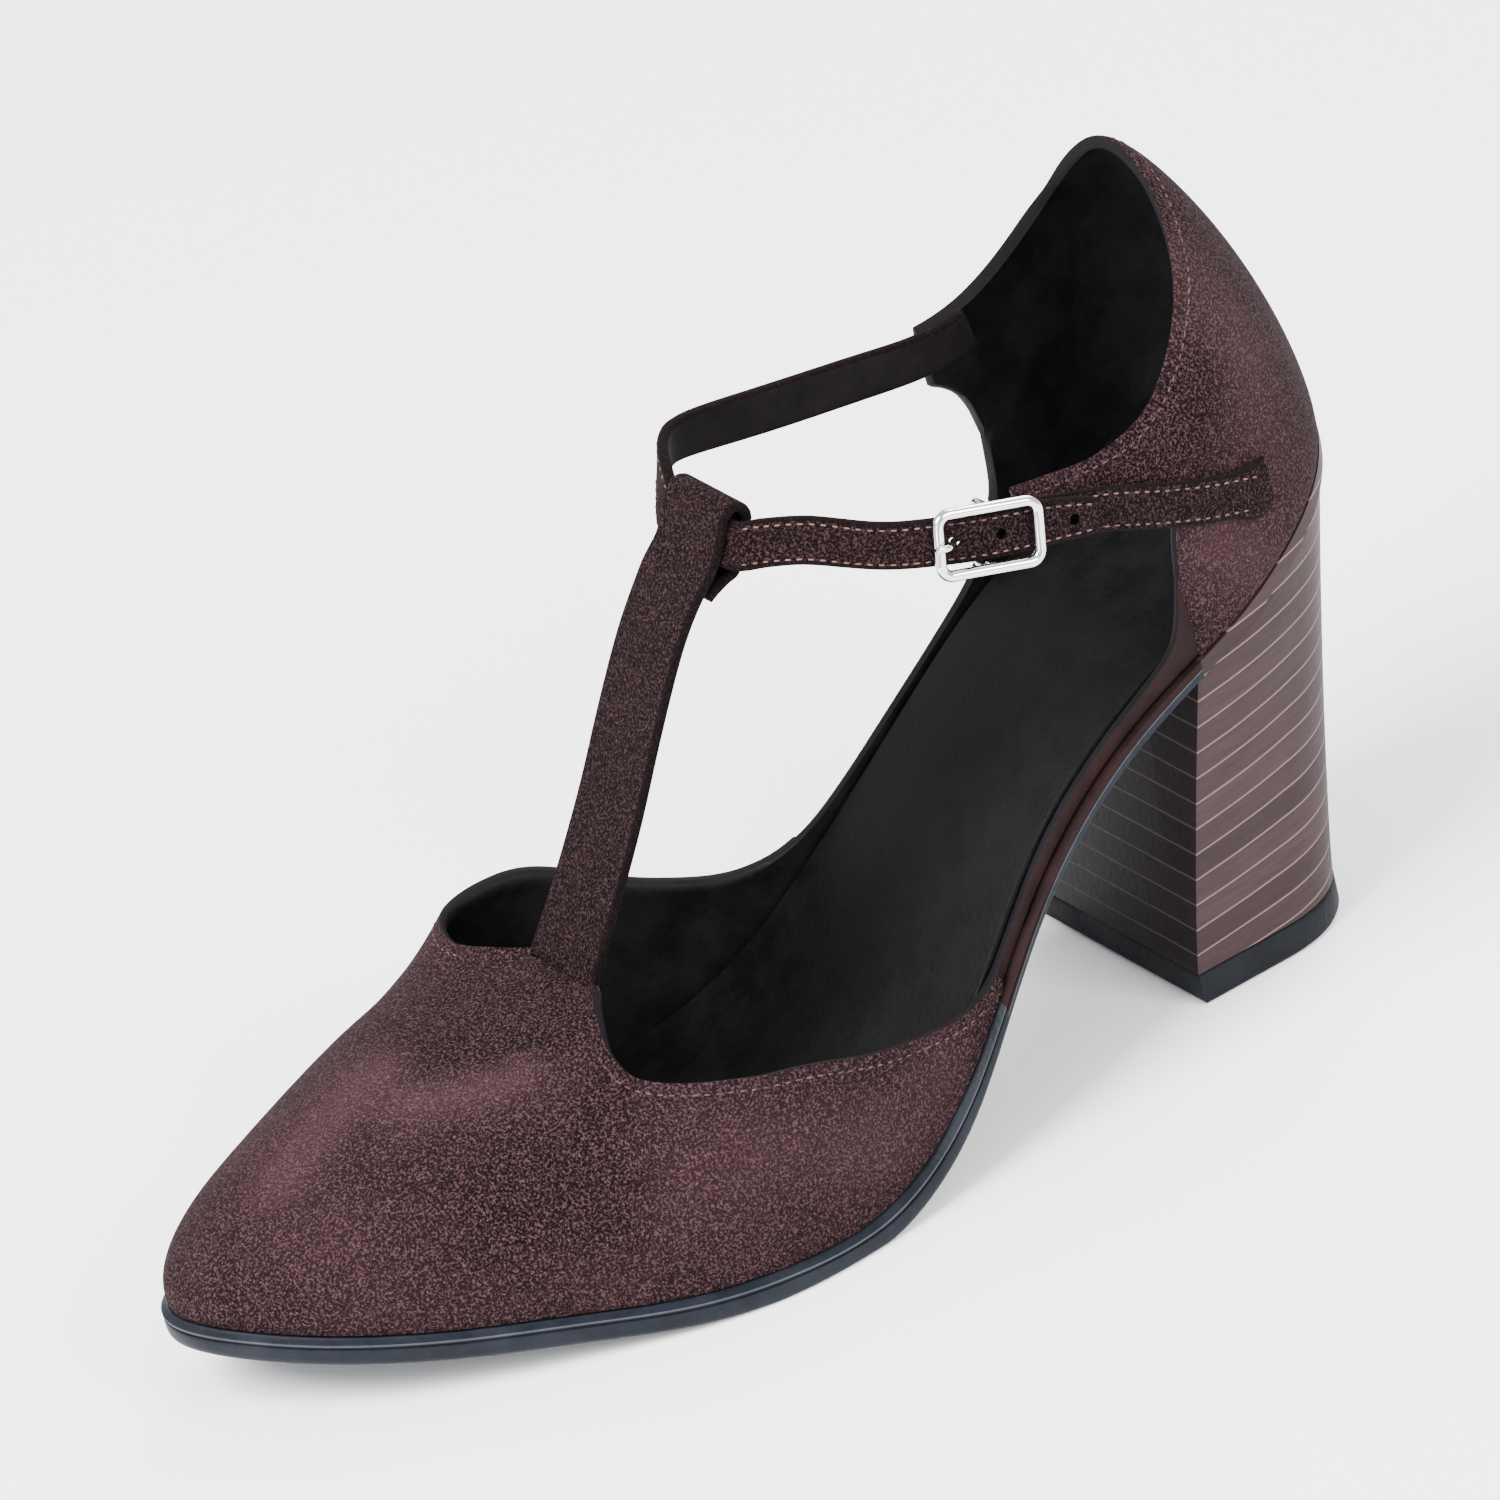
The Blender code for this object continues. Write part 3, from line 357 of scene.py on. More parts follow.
def bake(item, sharp):
    """Puts an object's modifiers into its mesh."""
    bpy.context.view_layer.update()
    depsgraph = bpy.context.evaluated_depsgraph_get()
    mesh = bpy.data.meshes.new_from_object(item.evaluated_get(depsgraph), depsgraph=depsgraph)
    item.modifiers.clear()
    item.data = mesh
    mesh.polygons.foreach_set("use_smooth", [True] * len(mesh.polygons))
    mesh.set_sharp_from_angle(angle=math.radians(sharp))
    return item


def finish_piece(item, nodes=()):
    """Hangs a piece on the shoe and hides the CAD nodes it stands for."""
    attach(item, "root")
    if nodes:
        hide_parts(*nodes)
    return item


# A soft line on the leather: its two ends on the last, its half width, and its strength or height.
SoftLine = namedtuple("SoftLine", "turn climb to_turn to_climb width height")
# Ridges and troughs of worn leather, with their height out of it.
CREASES = (
    SoftLine(8.60, 0.20, 9.60, 0.52, 0.0034, -0.00045), SoftLine(8.95, 0.16, 10.30, 0.46, 0.0042, 0.00040),
    SoftLine(7.60, 0.10, 8.30, 0.30, 0.0040, -0.00040), SoftLine(6.70, 0.06, 7.20, 0.20, 0.0034, 0.00040),
    SoftLine(6.20, 0.04, 6.45, 0.15, 0.0026, -0.00035), SoftLine(19.4, 0.22, 18.3, 0.50, 0.0036, -0.00045),
    SoftLine(20.9, 0.05, 20.7, 0.20, 0.0024, 0.00055), SoftLine(21.3, 0.05, 21.1, 0.19, 0.0022, -0.00050),
    SoftLine(21.7, 0.05, 21.5, 0.18, 0.0024, 0.00050), SoftLine(9.9, 0.62, 11.2, 0.80, 0.0050, -0.00035),
    SoftLine(2.60, 0.30, 2.85, 0.62, 0.0040, -0.00040), SoftLine(1.70, 0.55, 1.75, 0.92, 0.0042, 0.00035),
    SoftLine(26.4, 0.55, 26.3, 0.90, 0.0042, -0.00040), SoftLine(25.3, 0.30, 25.1, 0.62, 0.0040, 0.00040),
    SoftLine(3.55, 0.66, 3.75, 0.97, 0.0028, -0.00040), SoftLine(3.05, 0.56, 3.25, 0.92, 0.0030, 0.00035),
)

# Lighter and darker marks on the suede, with their strength. The lighter ones are partly brushed nap and
# partly painted highlight, above all the streaks over the vamp's top; the last one is a thin painted
# highlight along the vamp's raw edge at the T strap.
NAP_MARKS_AND_HIGHLIGHTS = (
    SoftLine(13.80, 0.545, 14.45, 0.763, 0.0056, 1.05), SoftLine(13.15, 0.726, 11.25, 0.770, 0.0042, 0.95),
    SoftLine(13.95, 0.330, 12.65, 0.420, 0.0080, 0.12), SoftLine(14.90, 0.500, 15.60, 0.700, 0.0060, 0.30),
    SoftLine(8.95, 0.300, 7.20, 0.160, 0.0080, 0.35), SoftLine(6.85, 0.120, 6.20, 0.120, 0.0060, 0.35),
    SoftLine(2.40, 0.334, 1.95, 0.600, 0.0080, 0.40), SoftLine(3.00, 0.377, 2.70, 0.150, 0.0070, 0.75),
    SoftLine(1.95, 0.600, 1.60, 0.850, 0.0060, 0.35), SoftLine(25.6, 0.300, 26.2, 0.600, 0.0090, 0.45),
    SoftLine(19.5, 0.250, 18.2, 0.450, 0.0080, 0.45), SoftLine(21.6, 0.080, 20.8, 0.160, 0.0050, 0.60),
    SoftLine(14.80, 0.869, 9.80, 0.930, 0.0080, -0.45), SoftLine(2.45, 0.732, 3.40, 0.750, 0.0060, -0.35),
    # The second line here is a thin painted highlight along the vamp's raw edge at the T strap.
    SoftLine(10.5, 0.450, 9.60, 0.350, 0.0080, -0.30), SoftLine(9.70, 0.985, 12.4, 0.985, 0.0009, 1.30),
)


LINE_POINTS = 7


def near_lines(points, lines):
    """The sum of soft lines' heights at points, each fading with the distance to its line on the last."""
    total = np.zeros(len(points))
    for item in lines:
        turns = np.linspace(item.turn, item.to_turn, LINE_POINTS)
        line = last_point(turns, np.linspace(item.climb, item.to_climb, LINE_POINTS))
        gaps = np.full(len(points), 1.0)
        for start, end in zip(line[:-1], line[1:]):
            step = end - start
            share = np.clip((points - start) @ step / (step @ step), 0.0, 1.0)
            gaps = np.minimum(gaps, np.linalg.norm(points - start - share[:, None] * step, axis=1))
        total += item.height * np.exp(-(gaps / item.width) ** 2)
    return total


def relief(points, depth):
    """How far creases lift or sink places of the upper, from their distance to each crease's line."""
    return near_lines(points, CREASES) * depth


def band_share(turns):
    """1 on the smooth band along the waist and 0 on the suede, with a quick step between."""
    near = np.minimum(turns, LOOP - turns)
    start, end = BAND_TURNS
    rise = np.clip((near - start) / SEAM, 0.0, 1.0)
    fall = np.clip((end - near) / SEAM, 0.0, 1.0)
    return np.minimum(rise, fall)


def join_places(rows_of_places):
    """Places of several nets of rows as one list without doubles, and the faces between them."""
    places = []
    index = {}
    faces = []

    def number(place):
        key = (round(place[0] % LOOP, 6), round(place[1], 6))
        if key not in index:
            index[key] = len(places)
            places.append(place)
        return index[key]

    for rows in rows_of_places:
        for low, high in zip(rows[:-1], rows[1:]):
            for corners in zip(low[:-1], low[1:], high[1:], high[:-1]):
                face = [number(corner) for corner in corners]
                faces.append([v for n, v in enumerate(face) if v not in face[:n]])
    return places, faces


def open_edges(faces):
    """The edges that only one face has, in that face's direction."""
    edges = {}
    for face in faces:
        for a, b in zip(face, face[1:] + face[:1]):
            edges[(a, b)] = True
    return [(a, b) for (a, b) in edges if (b, a) not in edges]


# Materials of the upper by their number.
SUEDE, LINING, EDGE, BAND = range(4)
# Creases start this far above the feather edge.
CREASE_START = 0.05
# The vamp's raw edge at the T strap: how far it reaches to both sides of the toe, and its least climb.
NECK_REACH = 4.62
NECK_CLIMB = 0.97


def build_upper(depth, materials):
    """The suede laid on the last, its black lining and the edges between them."""
    places, faces = join_places((lower_rows(), upper_rows()))
    turns = np.array([place[0] % LOOP for place in places])
    climbs = np.array([place[1] for place in places])
    base = last_point(turns, climbs)
    normal = surface_normal(turns, climbs)
    band = band_share(turns) * (climbs < 0.6)
    fade = np.clip(climbs / CREASE_START, 0.0, 1.0)
    lift = relief(base, depth) * fade * (1.0 - band) - BAND_RECESS * band
    outside = base + normal * lift[:, None]
    rim = open_edges(faces)
    walls = np.full(len(places), UPPER_WALL)
    at_top = [v for edge in rim for v in edge if climbs[v] > 0.02]
    walls[at_top] = RIM_WALL
    inside = base - walls[:, None] * normal
    count = len(places)
    backs = [[v + count for v in reversed(face)] for face in faces]
    sides = [[b, a, a + count, b + count] for a, b in rim]
    front_kinds = [BAND if min(band[v] for v in face) > 0.5 else SUEDE for face in faces]
    at_neck = [abs(turns[a] - TOE) < NECK_REACH and climbs[a] > NECK_CLIMB for a, b in rim]
    side_kinds = [SUEDE if neck else EDGE for neck in at_neck]
    kinds = front_kinds + [LINING] * len(backs) + side_kinds
    points = np.concatenate([outside, inside])
    item = mesh_object("upper_leather", points, faces + backs + sides, materials, kinds, 50.0)
    item = soften(item, RIM_ROUND, 60.0)
    flat = np.zeros(len(item.data.vertices) * 3)
    item.data.vertices.foreach_get("co", flat)
    # The suede's marks as a point attribute: brushed nap, darker marks and painted highlights.
    brushed_and_highlight = item.data.attributes.new("brushed_and_highlight", "FLOAT", "POINT")
    brushed_and_highlight.data.foreach_set("value", near_lines(flat.reshape(-1, 3) - SHIFT, NAP_MARKS_AND_HIGHLIGHTS))
    return item


def lower_rows():
    """The vamp, the low sides and the counter's foot: a closed band from the feather edge upward."""
    turns = np.concatenate([COUNTER_TURNS, SIDE_TURNS[1:]])
    tops = [(turn, top_climb(turn, 1)) for turn in turns]
    tops += [(LOOP - turn, top_climb(turn, -1)) for turn in turns[-2::-1]]
    shares = np.linspace(0.0, 1.0, ROWS_BELOW + 1) ** 1.1
    return [[(turn, climb * share) for turn, climb in tops] for share in shares]


def upper_rows():
    """The counter above the cut-outs with its two wings: an open band up to the collar."""
    bottom = []
    for side, tip, count in zip((1, -1), WING_TIPS, WING_COLUMNS):
        curve = WING_CURVES[side]
        turns = np.linspace(CUT_OUT_END, curve[-1, 0], count + 1)[1:]
        climbs = np.interp(turns, curve[:, 0], curve[:, 1])
        reach = (tip - CUT_OUT_END) / (curve[-1, 0] - CUT_OUT_END)
        tops = CUT_OUT_END + (turns - CUT_OUT_END) * reach
        row = [(signed(t, side), c, signed(top, side)) for t, c, top in zip(turns, climbs, tops)]
        bottom.append(row)
    back = [(t, joint_climb(t, 1), t) for t in COUNTER_TURNS[::-1]]
    back += [(LOOP - t, joint_climb(t, -1), LOOP - t) for t in COUNTER_TURNS[1:]]
    columns = (bottom[0][::-1] + back + bottom[1])[::-1]
    rows = []
    for share in np.linspace(0.0, 1.0, ROWS_ABOVE + 1):
        row = [(low + (top - low) * share, climb + (1.0 - climb) * share) for low, climb, top in columns]
        rows.append(row)
    return rows


def ramp(values, ends):
    """0 up to the first end and 1 from the second, and even between them."""
    return np.clip((values - ends[0]) / (ends[1] - ends[0]), 0.0, 1.0)


def sole_margin(turns):
    """How far the sole stands out past the feather edge: hardly at the seat, fully at the forefoot."""
    return SEAT_MARGIN + (OUTSOLE_MARGIN - SEAT_MARGIN) * ramp(turns, MARGIN_TURNS)


def outline_points(turns, side, out):
    """Points beside the feather edge, so far out in plan, at the feather edge's height."""
    loop = np.array([signed(turn, side) for turn in turns])
    out = np.broadcast_to(out, loop.shape)
    values = around(loop)
    normal = outline_normal(loop)
    x = values[:, 0] + out * normal[:, 0]
    y = -values[:, 1] + out * normal[:, 1]
    return np.stack([x, y, values[:, 2]], -1)


STEEPEST = 1.5


def slope_drop(turns, gap):
    """Height that keeps a gap square to the sloping shank."""
    turns = np.asarray(turns, float)
    rise = around(turns + 0.05)[:, 2] - around(turns - 0.05)[:, 2]
    run = around(turns + 0.05)[:, 1] - around(turns - 0.05)[:, 1]
    steep = rise / np.where(np.abs(run) < 1e-5, 1e-5, run)
    return gap * np.sqrt(1.0 + np.clip(steep, -STEEPEST, STEEPEST) ** 2)


def ladder(name, levels, materials, choose=None, end_kind=0):
    """A solid from levels, each an outer and an inner side of points that run from the heel forward.

    choose gives the material of a face from its level and column, and end_kind is that of the front end.
    """
    points = []
    faces = []
    kinds = []
    rings = []
    for outer, inner in levels:
        ring = [len(points) + n for n in range(len(outer) + len(inner))]
        points += list(outer) + list(inner)
        rings.append((ring[:len(outer)], ring[len(outer):]))
    for number, ((low_out, low_in), (high_out, high_in)) in enumerate(zip(rings[:-1], rings[1:])):
        low = low_out + low_in[::-1]
        high = high_out + high_in[::-1]
        last = len(low_out) - 1
        for n, (a, b, c, d) in enumerate(zip(low, low[1:] + low[:1], high[1:] + high[:1], high)):
            faces.append([a, b, c, d])
            column = n if n <= last else 2 * last + 1 - n
            kind = choose(number, column) if choose else 0
            kinds.append(end_kind if end_kind and n == last else kind)
    for (outer, inner), up in ((rings[0], False), (rings[-1], True)):
        for column, (a, b, c, d) in enumerate(zip(outer[:-1], outer[1:], inner[1:], inner[:-1])):
            faces.append([d, c, b, a] if up else [a, b, c, d])
            kinds.append(choose(len(rings) - 2, column) if choose and up else 0)
    return mesh_object(name, points, faces, materials, kinds)


SOLE_TURNS = steps(0.0, (3.0, 36), (9.0, 72), (TOE, 72))
# The waist's smooth band ends at the first drop of the outsole's edge, and the light line at the second.
BAND_DROPS = (0.49, 0.57)
EdgeStep = namedtuple("EdgeStep", "drop out kind")
# The outsole's side from its top: drop over the thickness, place against the margin, 1 for the light line.
OUTSOLE_EDGE = (
    EdgeStep(0.00, -0.0012, 0), EdgeStep(0.05, -0.0009, 0), EdgeStep(0.09, -0.0003, 0),
    EdgeStep(0.13, 0.0, 1), EdgeStep(0.20, 0.0, 0), EdgeStep(0.25, -0.0001, 0),
    EdgeStep(0.28, -0.0004, 0), EdgeStep(0.32, -0.0004, 0), EdgeStep(0.35, -0.0001, 0),
    EdgeStep(0.42, 0.0, 0), EdgeStep(0.50, 0.0, 0), EdgeStep(0.58, 0.0, 0), EdgeStep(0.70, 0.0, 0),
    EdgeStep(0.84, -0.0001, 0), EdgeStep(0.93, -0.0003, 0), EdgeStep(1.00, -0.0007, 0),
)


def outsole_thickness(turns):
    """Thin under the heel and shank, full under the forefoot."""
    share = ramp(turns, SHANK_TURNS)
    return OUTSOLE_WAIST + (OUTSOLE_FORE - OUTSOLE_WAIST) * share * share * (3.0 - 2.0 * share)


# Materials of the outsole by their number: its side and tread, the light line, stacked leather, smooth band.
TREAD, LIGHT_LINE, STACKED, SMOOTH = range(4)


def build_outsole(materials):
    """One thin sole from the heel seat to the toe, flat on the floor under the ball."""
    thick = outsole_thickness(SOLE_TURNS)
    top = around(SOLE_TURNS)[:, 2] - slope_drop(SOLE_TURNS, GAP)
    bottom = np.maximum(top - thick, 0.0)
    levels = []
    for step in OUTSOLE_EDGE:
        sides = []
        for side in (1, -1):
            out = sole_margin(SOLE_TURNS) + step.out * ramp(SOLE_TURNS, WELT_TURNS)
            points = outline_points(SOLE_TURNS, side, out)
            points[:, 2] = top + (bottom - top) * step.drop
            sides.append(points)
        levels.append(sides)
    edge = OUTSOLE_EDGE[:-1][::-1]

    def choose(number, column):
        turn = SOLE_TURNS[column]
        step = edge[number]
        if turn < SEAT_END:
            return STACKED
        if turn >= BAND_TURNS[1]:
            return step.kind
        if step.drop < BAND_DROPS[0]:
            return SMOOTH
        return LIGHT_LINE if step.drop < BAND_DROPS[1] else TREAD

    return ladder("outsole_finish", levels[::-1], materials, choose)


# The insole's side: height from its bottom and place against its outline.
INSOLE_EDGE = (
    (0.0, -0.0006), (0.0006, 0.0), (INSOLE_THICK - 0.0008, 0.0), (INSOLE_THICK - 0.0002, -0.0003),
    (INSOLE_THICK, -0.0009),
)


def build_insole(material):
    """The covered insole that lies inside the upper."""
    inset = UPPER_WALL + 2.0 * GAP
    levels = []
    for height, out in INSOLE_EDGE:
        sides = []
        for side in (1, -1):
            points = outline_points(SOLE_TURNS, side, out - inset)
            points[:, 2] += height + 0.5 * GAP
            sides.append(points)
        levels.append(sides)
    return ladder("insole_sock", levels, [material])


def heel_foot(share, side, inset):
    """Plan of the heel's foot: a round back, straight sides and a flat breast."""
    half = HEEL_FOOT_WIDTH / 2 - inset
    length = HEEL_FOOT_LENGTH - 2.0 * inset
    angle = np.minimum(share / BACK_SHARE, 1.0) * math.pi / 2
    straight = np.maximum(share - BACK_SHARE, 0.0) / (1.0 - BACK_SHARE)
    bend = 1.0 - np.cos(angle) ** HEEL_ROUND_POWER
    depth = length * (BACK_LENGTH * bend + (1.0 - BACK_LENGTH) * straight)
    return np.stack([side * half * np.sin(angle) ** HEEL_ROUND_POWER, -HEEL_FOOT_BACK - inset - depth], -1)


HEEL_COLUMNS = 57
HEEL_LEVELS = 41


def build_heel(materials):
    """The stacked block between the top piece and the seat, its breast set in under the shank."""
    turns = np.linspace(0.0, BREAST_TURN, HEEL_COLUMNS)
    share = np.linspace(0.0, 1.0, HEEL_COLUMNS)
    seat = around(turns)[:, 2] - slope_drop(turns, 2.0 * GAP + OUTSOLE_WAIST)
    floor = TOP_PIECE_THICK + GAP
    levels = []
    for height in np.linspace(0.0, 1.0, HEEL_LEVELS):
        sides = []
        for side in (1, -1):
            top = outline_points(turns, side, -SEAT_INSET)
            foot = heel_foot(share, side, 0.0)
            plan = foot + (top[:, :2] - foot) * height ** FLARE_POWER
            sides.append(np.column_stack([plan, floor + (seat - floor) * height]))
        levels.append(sides)
    # The front end, the breast, takes material 1, whose darker colours are a painted shade.
    item = ladder("heel_stack", levels, materials, end_kind=1)
    return soften(item, HEEL_ROUND, 50.0, 2)


# The top piece's side: height from the floor and inset from the heel foot's outline.
TOP_PIECE_EDGE = (
    (0.0, 0.0008), (0.0003, 0.0004), (0.0008, 0.0001), (TOP_PIECE_THICK - 0.0009, 0.0),
    (TOP_PIECE_THICK - 0.0003, 0.0002), (TOP_PIECE_THICK, 0.0006),
)


def build_top_piece(material):
    """The rubber top piece that the heel stands on."""
    share = np.linspace(0.0, 1.0, HEEL_COLUMNS)
    levels = []
    for height, inset in TOP_PIECE_EDGE:
        level = np.full(HEEL_COLUMNS, height)
        levels.append([np.column_stack([heel_foot(share, side, inset), level]) for side in (1, -1)])
    return ladder("heel_top_piece", levels, [material])


# A place along a strap: its middle, unit vectors over its width and its thickness, and its width.
Ribbon = namedtuple("Ribbon", "centre across out width")


def refine(stations, per_step):
    """More stations on the same smooth path."""
    rows = [np.concatenate([s.centre, s.across, s.out, [s.width]]) for s in stations]
    curve = smooth_path(rows, per_step)
    return [Ribbon(row[:3], unit(row[3:6]), unit(row[6:9]), row[9]) for row in curve]


FLAT_POINTS = 9
ROUND_POINTS = 7


# Materials of a strap by their number.
FACE, UNDERSIDE, RAW_EDGE = range(3)


def ribbon_section(width, thick):
    """A strap's section as places over width and thickness, and the material of each part."""
    bend = thick * 0.42
    flat = width / 2 - bend
    places = []
    kinds = []
    for x in np.linspace(-flat, flat, FLAT_POINTS):
        places.append((x, thick / 2))
        kinds.append(FACE)
    for angle in np.linspace(math.pi / 2, -math.pi / 2, ROUND_POINTS)[1:-1]:
        places.append((flat + bend * math.cos(angle), thick / 2 * math.sin(angle)))
        kinds.append(RAW_EDGE)
    kinds[FLAT_POINTS - 1] = RAW_EDGE
    for x in np.linspace(flat, -flat, FLAT_POINTS):
        places.append((x, -thick / 2))
        kinds.append(UNDERSIDE)
    for angle in np.linspace(-math.pi / 2, -3 * math.pi / 2, ROUND_POINTS)[1:-1]:
        places.append((-flat + bend * math.cos(angle), thick / 2 * math.sin(angle)))
        kinds.append(RAW_EDGE)
    kinds[2 * FLAT_POINTS + ROUND_POINTS - 3] = RAW_EDGE
    return np.array(places), kinds


# A slanted end is cut within this length of the strap, by this share of its width.
SLANT_REACH = 0.007
TAB_SLANT = 0.6


def build_ribbon(name, stations, thick, materials, lift=None, slant=0.0):
    """A strap along its stations, with a face, an underside and raw edges.

    lift raises or sinks places of it, and slant cuts its start at an angle.
    """
    points = []
    faces = []
    kinds = []
    forward = unit(stations[4].centre - stations[0].centre)
    for number, station in enumerate(stations):
        places, section_kinds = ribbon_section(station.width, thick)
        shear = slant * max(0.0, 1.0 - np.linalg.norm(station.centre - stations[0].centre) / SLANT_REACH)
        for wide, deep in places:
            extra = lift(number / (len(stations) - 1), wide / station.width) if lift else 0.0
            place = station.centre + station.across * wide + station.out * (deep + extra)
            points.append(place - forward * shear * wide)
    count = len(section_kinds)
    for k in range(len(stations) - 1):
        for n in range(count):
            m = (n + 1) % count
            faces.append([k * count + n, k * count + m, (k + 1) * count + m, (k + 1) * count + n])
            kinds.append(section_kinds[n])
    faces.append(list(range(count))[::-1])
    faces.append([(len(stations) - 1) * count + n for n in range(count)])
    kinds += [RAW_EDGE, RAW_EDGE]
    return mesh_object(name, points, faces, materials, kinds, 60.0)


# The T strap's outer face above the vamp: distance from the heel and height, then the ankle strap's front.
Rise = namedtuple("Rise", "back height side width")
T_LINE = (
    Rise(0.1442, 0.0447, -0.0060, 0.0183), Rise(0.1400, 0.0512, -0.0054, 0.0178),
    Rise(0.1350, 0.0593, -0.0047, 0.0174), Rise(0.1300, 0.0678, -0.0040, 0.0172),
    Rise(0.1240, 0.0790, -0.0031, 0.0170), Rise(0.1175, 0.0903, -0.0022, 0.0169),
    Rise(0.1125, 0.0975, -0.0014, 0.0169),
)
# The ankle strap's upper edge at the front of the ankle, and its upward and outward directions there.
FRONT_TOP = np.array([-0.0008, -0.1020, 0.1068])
FRONT_UP = unit([0.0, 0.50, 0.866])
FRONT_OUT = unit([0.0, -0.866, 0.50])
Leg = namedtuple("Leg", "drop out")
# The T strap's end behind the ankle strap: drop from the fold and place against the ankle strap's middle.
FOLD_LEG = (
    Leg(0.0045, -0.0020), Leg(0.0081, -0.0021), Leg(0.0097, -0.0009), Leg(0.0113, 0.0003),
    Leg(0.0130, 0.0013),
)
TUCK = 0.0016
FOLD_WIDTH = 0.0169
LEG_WIDTHS = [0.0164, 0.0158, 0.0155, 0.0152]


def t_strap_stations():
    """The T strap from under the vamp's neck, up the instep, over the ankle strap and down behind it."""
    line = np.array([[row.side, -row.back, row.height] for row in T_LINE])
    tangent = unit(np.gradient(line, axis=0))
    out = unit(np.cross(tangent, [1.0, 0.0, 0.0]))
    out = out * np.sign(out[:, 2:3])
    points = list(line - out * T_STRAP_THICK / 2)
    points.insert(0, points[0] - tangent[0] * TUCK - out[0] * 0.0004)
    widths = [T_LINE[0].width] + [row.width for row in T_LINE]
    reach = ANKLE_STRAP_THICK / 2 + GAP + T_STRAP_THICK / 2
    points.append(FRONT_TOP - FRONT_UP * 0.0072 + FRONT_OUT * reach * 1.05)
    points.append(FRONT_TOP - FRONT_UP * 0.0030 + FRONT_OUT * reach)
    for angle in np.linspace(0.0, math.pi, 9):
        points.append(FRONT_TOP + reach * (FRONT_OUT * math.cos(angle) + FRONT_UP * math.sin(angle)))
    for leg in FOLD_LEG:
        points.append(FRONT_TOP - FRONT_UP * leg.drop + FRONT_OUT * leg.out)
    widths += [FOLD_WIDTH] * (len(points) - len(widths) - len(LEG_WIDTHS)) + LEG_WIDTHS
    points = np.array(points)
    tangent = unit(np.gradient(points, axis=0))
    across = unit(np.array([1.0, 0.0, 0.0]) - tangent * tangent[:, :1])
    out = np.cross(across, tangent)
    return [Ribbon(c, a, o, w) for c, a, o, w in zip(points, across, out, widths)]


Lay = namedtuple("Lay", "turn climb out")
# Middle lines of the straps beside the last: place on the loop, climb, and distance out of the last.
OUTER_LINE = (
    Lay(3.87, 0.703, 0.0027), Lay(4.00, 0.724, 0.0027), Lay(4.20, 0.750, 0.0027),
    Lay(4.40, 0.768, 0.0027), Lay(4.58, 0.780, 0.0027), Lay(4.78, 0.797, 0.0027),
    Lay(4.98, 0.806, 0.0026), Lay(5.20, 0.807, 0.0014), Lay(5.45, 0.816, 0.0000),
    Lay(5.75, 0.832, -0.0008), Lay(6.05, 0.852, -0.0009),
)
INNER_LINE = (
    Lay(3.05, 0.790, -0.0033), Lay(3.30, 0.790, -0.0033), Lay(3.60, 0.795, -0.0032),
    Lay(3.90, 0.801, -0.0016), Lay(4.20, 0.808, -0.0009), Lay(4.60, 0.822, -0.0009),
    Lay(5.00, 0.840, -0.0006), Lay(5.40, 0.862, 0.0004), Lay(5.75, 0.882, 0.0014),
    Lay(6.05, 0.890, 0.0018),
)
TAB_LINE = (
    Lay(2.42, 0.352, 0.0009), Lay(2.52, 0.357, 0.0009), Lay(2.62, 0.388, 0.0009),
    Lay(2.82, 0.452, 0.0009), Lay(3.12, 0.540, 0.0009), Lay(3.35, 0.598, 0.0009),
    Lay(3.58, 0.652, 0.0009), Lay(3.77, 0.690, 0.0009), Lay(4.00, 0.724, 0.0009),
    Lay(4.20, 0.750, 0.0009),
)


# The ankle strap's width towards its free end, over its full width.
FREE_END = (0.70, 0.80, 0.84, 0.87, 0.90, 0.93, 0.96, 0.99)
FRONT_REACH = 0.0092


def along_line(line, side, per_step):
    """Middle, width direction and outward direction of a strap beside the last."""
    curve = smooth_path(line, per_step)
    loop = curve[:, 0] if side > 0 else LOOP - curve[:, 0]
    climb = curve[:, 1]
    across = unit(last_point(loop, climb + 0.03) - last_point(loop, climb - 0.03))
    out = surface_normal(loop, climb)
    return last_point(loop, climb) + out * curve[:, 2:3], across, out


def ankle_strap_stations():
    """The ankle strap from its free end at the buckle, round the front to the inner wing."""
    outer, outer_across, _ = along_line(OUTER_LINE, 1, 3)
    inner, inner_across, _ = along_line(INNER_LINE, -1, 2)
    front = FRONT_TOP - FRONT_UP * ANKLE_STRAP_WIDTH / 2
    sides = [front + np.array([shift, 0.0, 0.0]) for shift in (FRONT_REACH, 0.0, -FRONT_REACH)]
    centres = np.concatenate([outer, sides, inner[::-1]])
    across = np.concatenate([outer_across, [FRONT_UP] * 3, inner_across[::-1]])
    middle = len(outer) + 1
    for _ in range(4):
        centres[1:-1] = (centres[:-2] + 2.0 * centres[1:-1] + centres[2:]) / 4.0
        across[1:-1] = unit(across[:-2] + 2.0 * across[1:-1] + across[2:])
        centres[middle - 1:middle + 2] = sides
        across[middle - 1:middle + 2] = FRONT_UP
    tangent = unit(np.gradient(centres, axis=0))
    across = unit(across - tangent * np.sum(across * tangent, axis=-1, keepdims=True))
    out = np.cross(across, tangent)
    widths = np.full(len(centres), ANKLE_STRAP_WIDTH)
    widths[:len(FREE_END)] *= FREE_END
    return [Ribbon(c, a, o, w) for c, a, o, w in zip(centres, across, out, widths)]


# Where the buckle's bar crosses the last, and how far out its ring and its bar lie.
BUCKLE_TURN = 4.58
RING_OUT = 0.0048
BAR_OUT = -0.0008


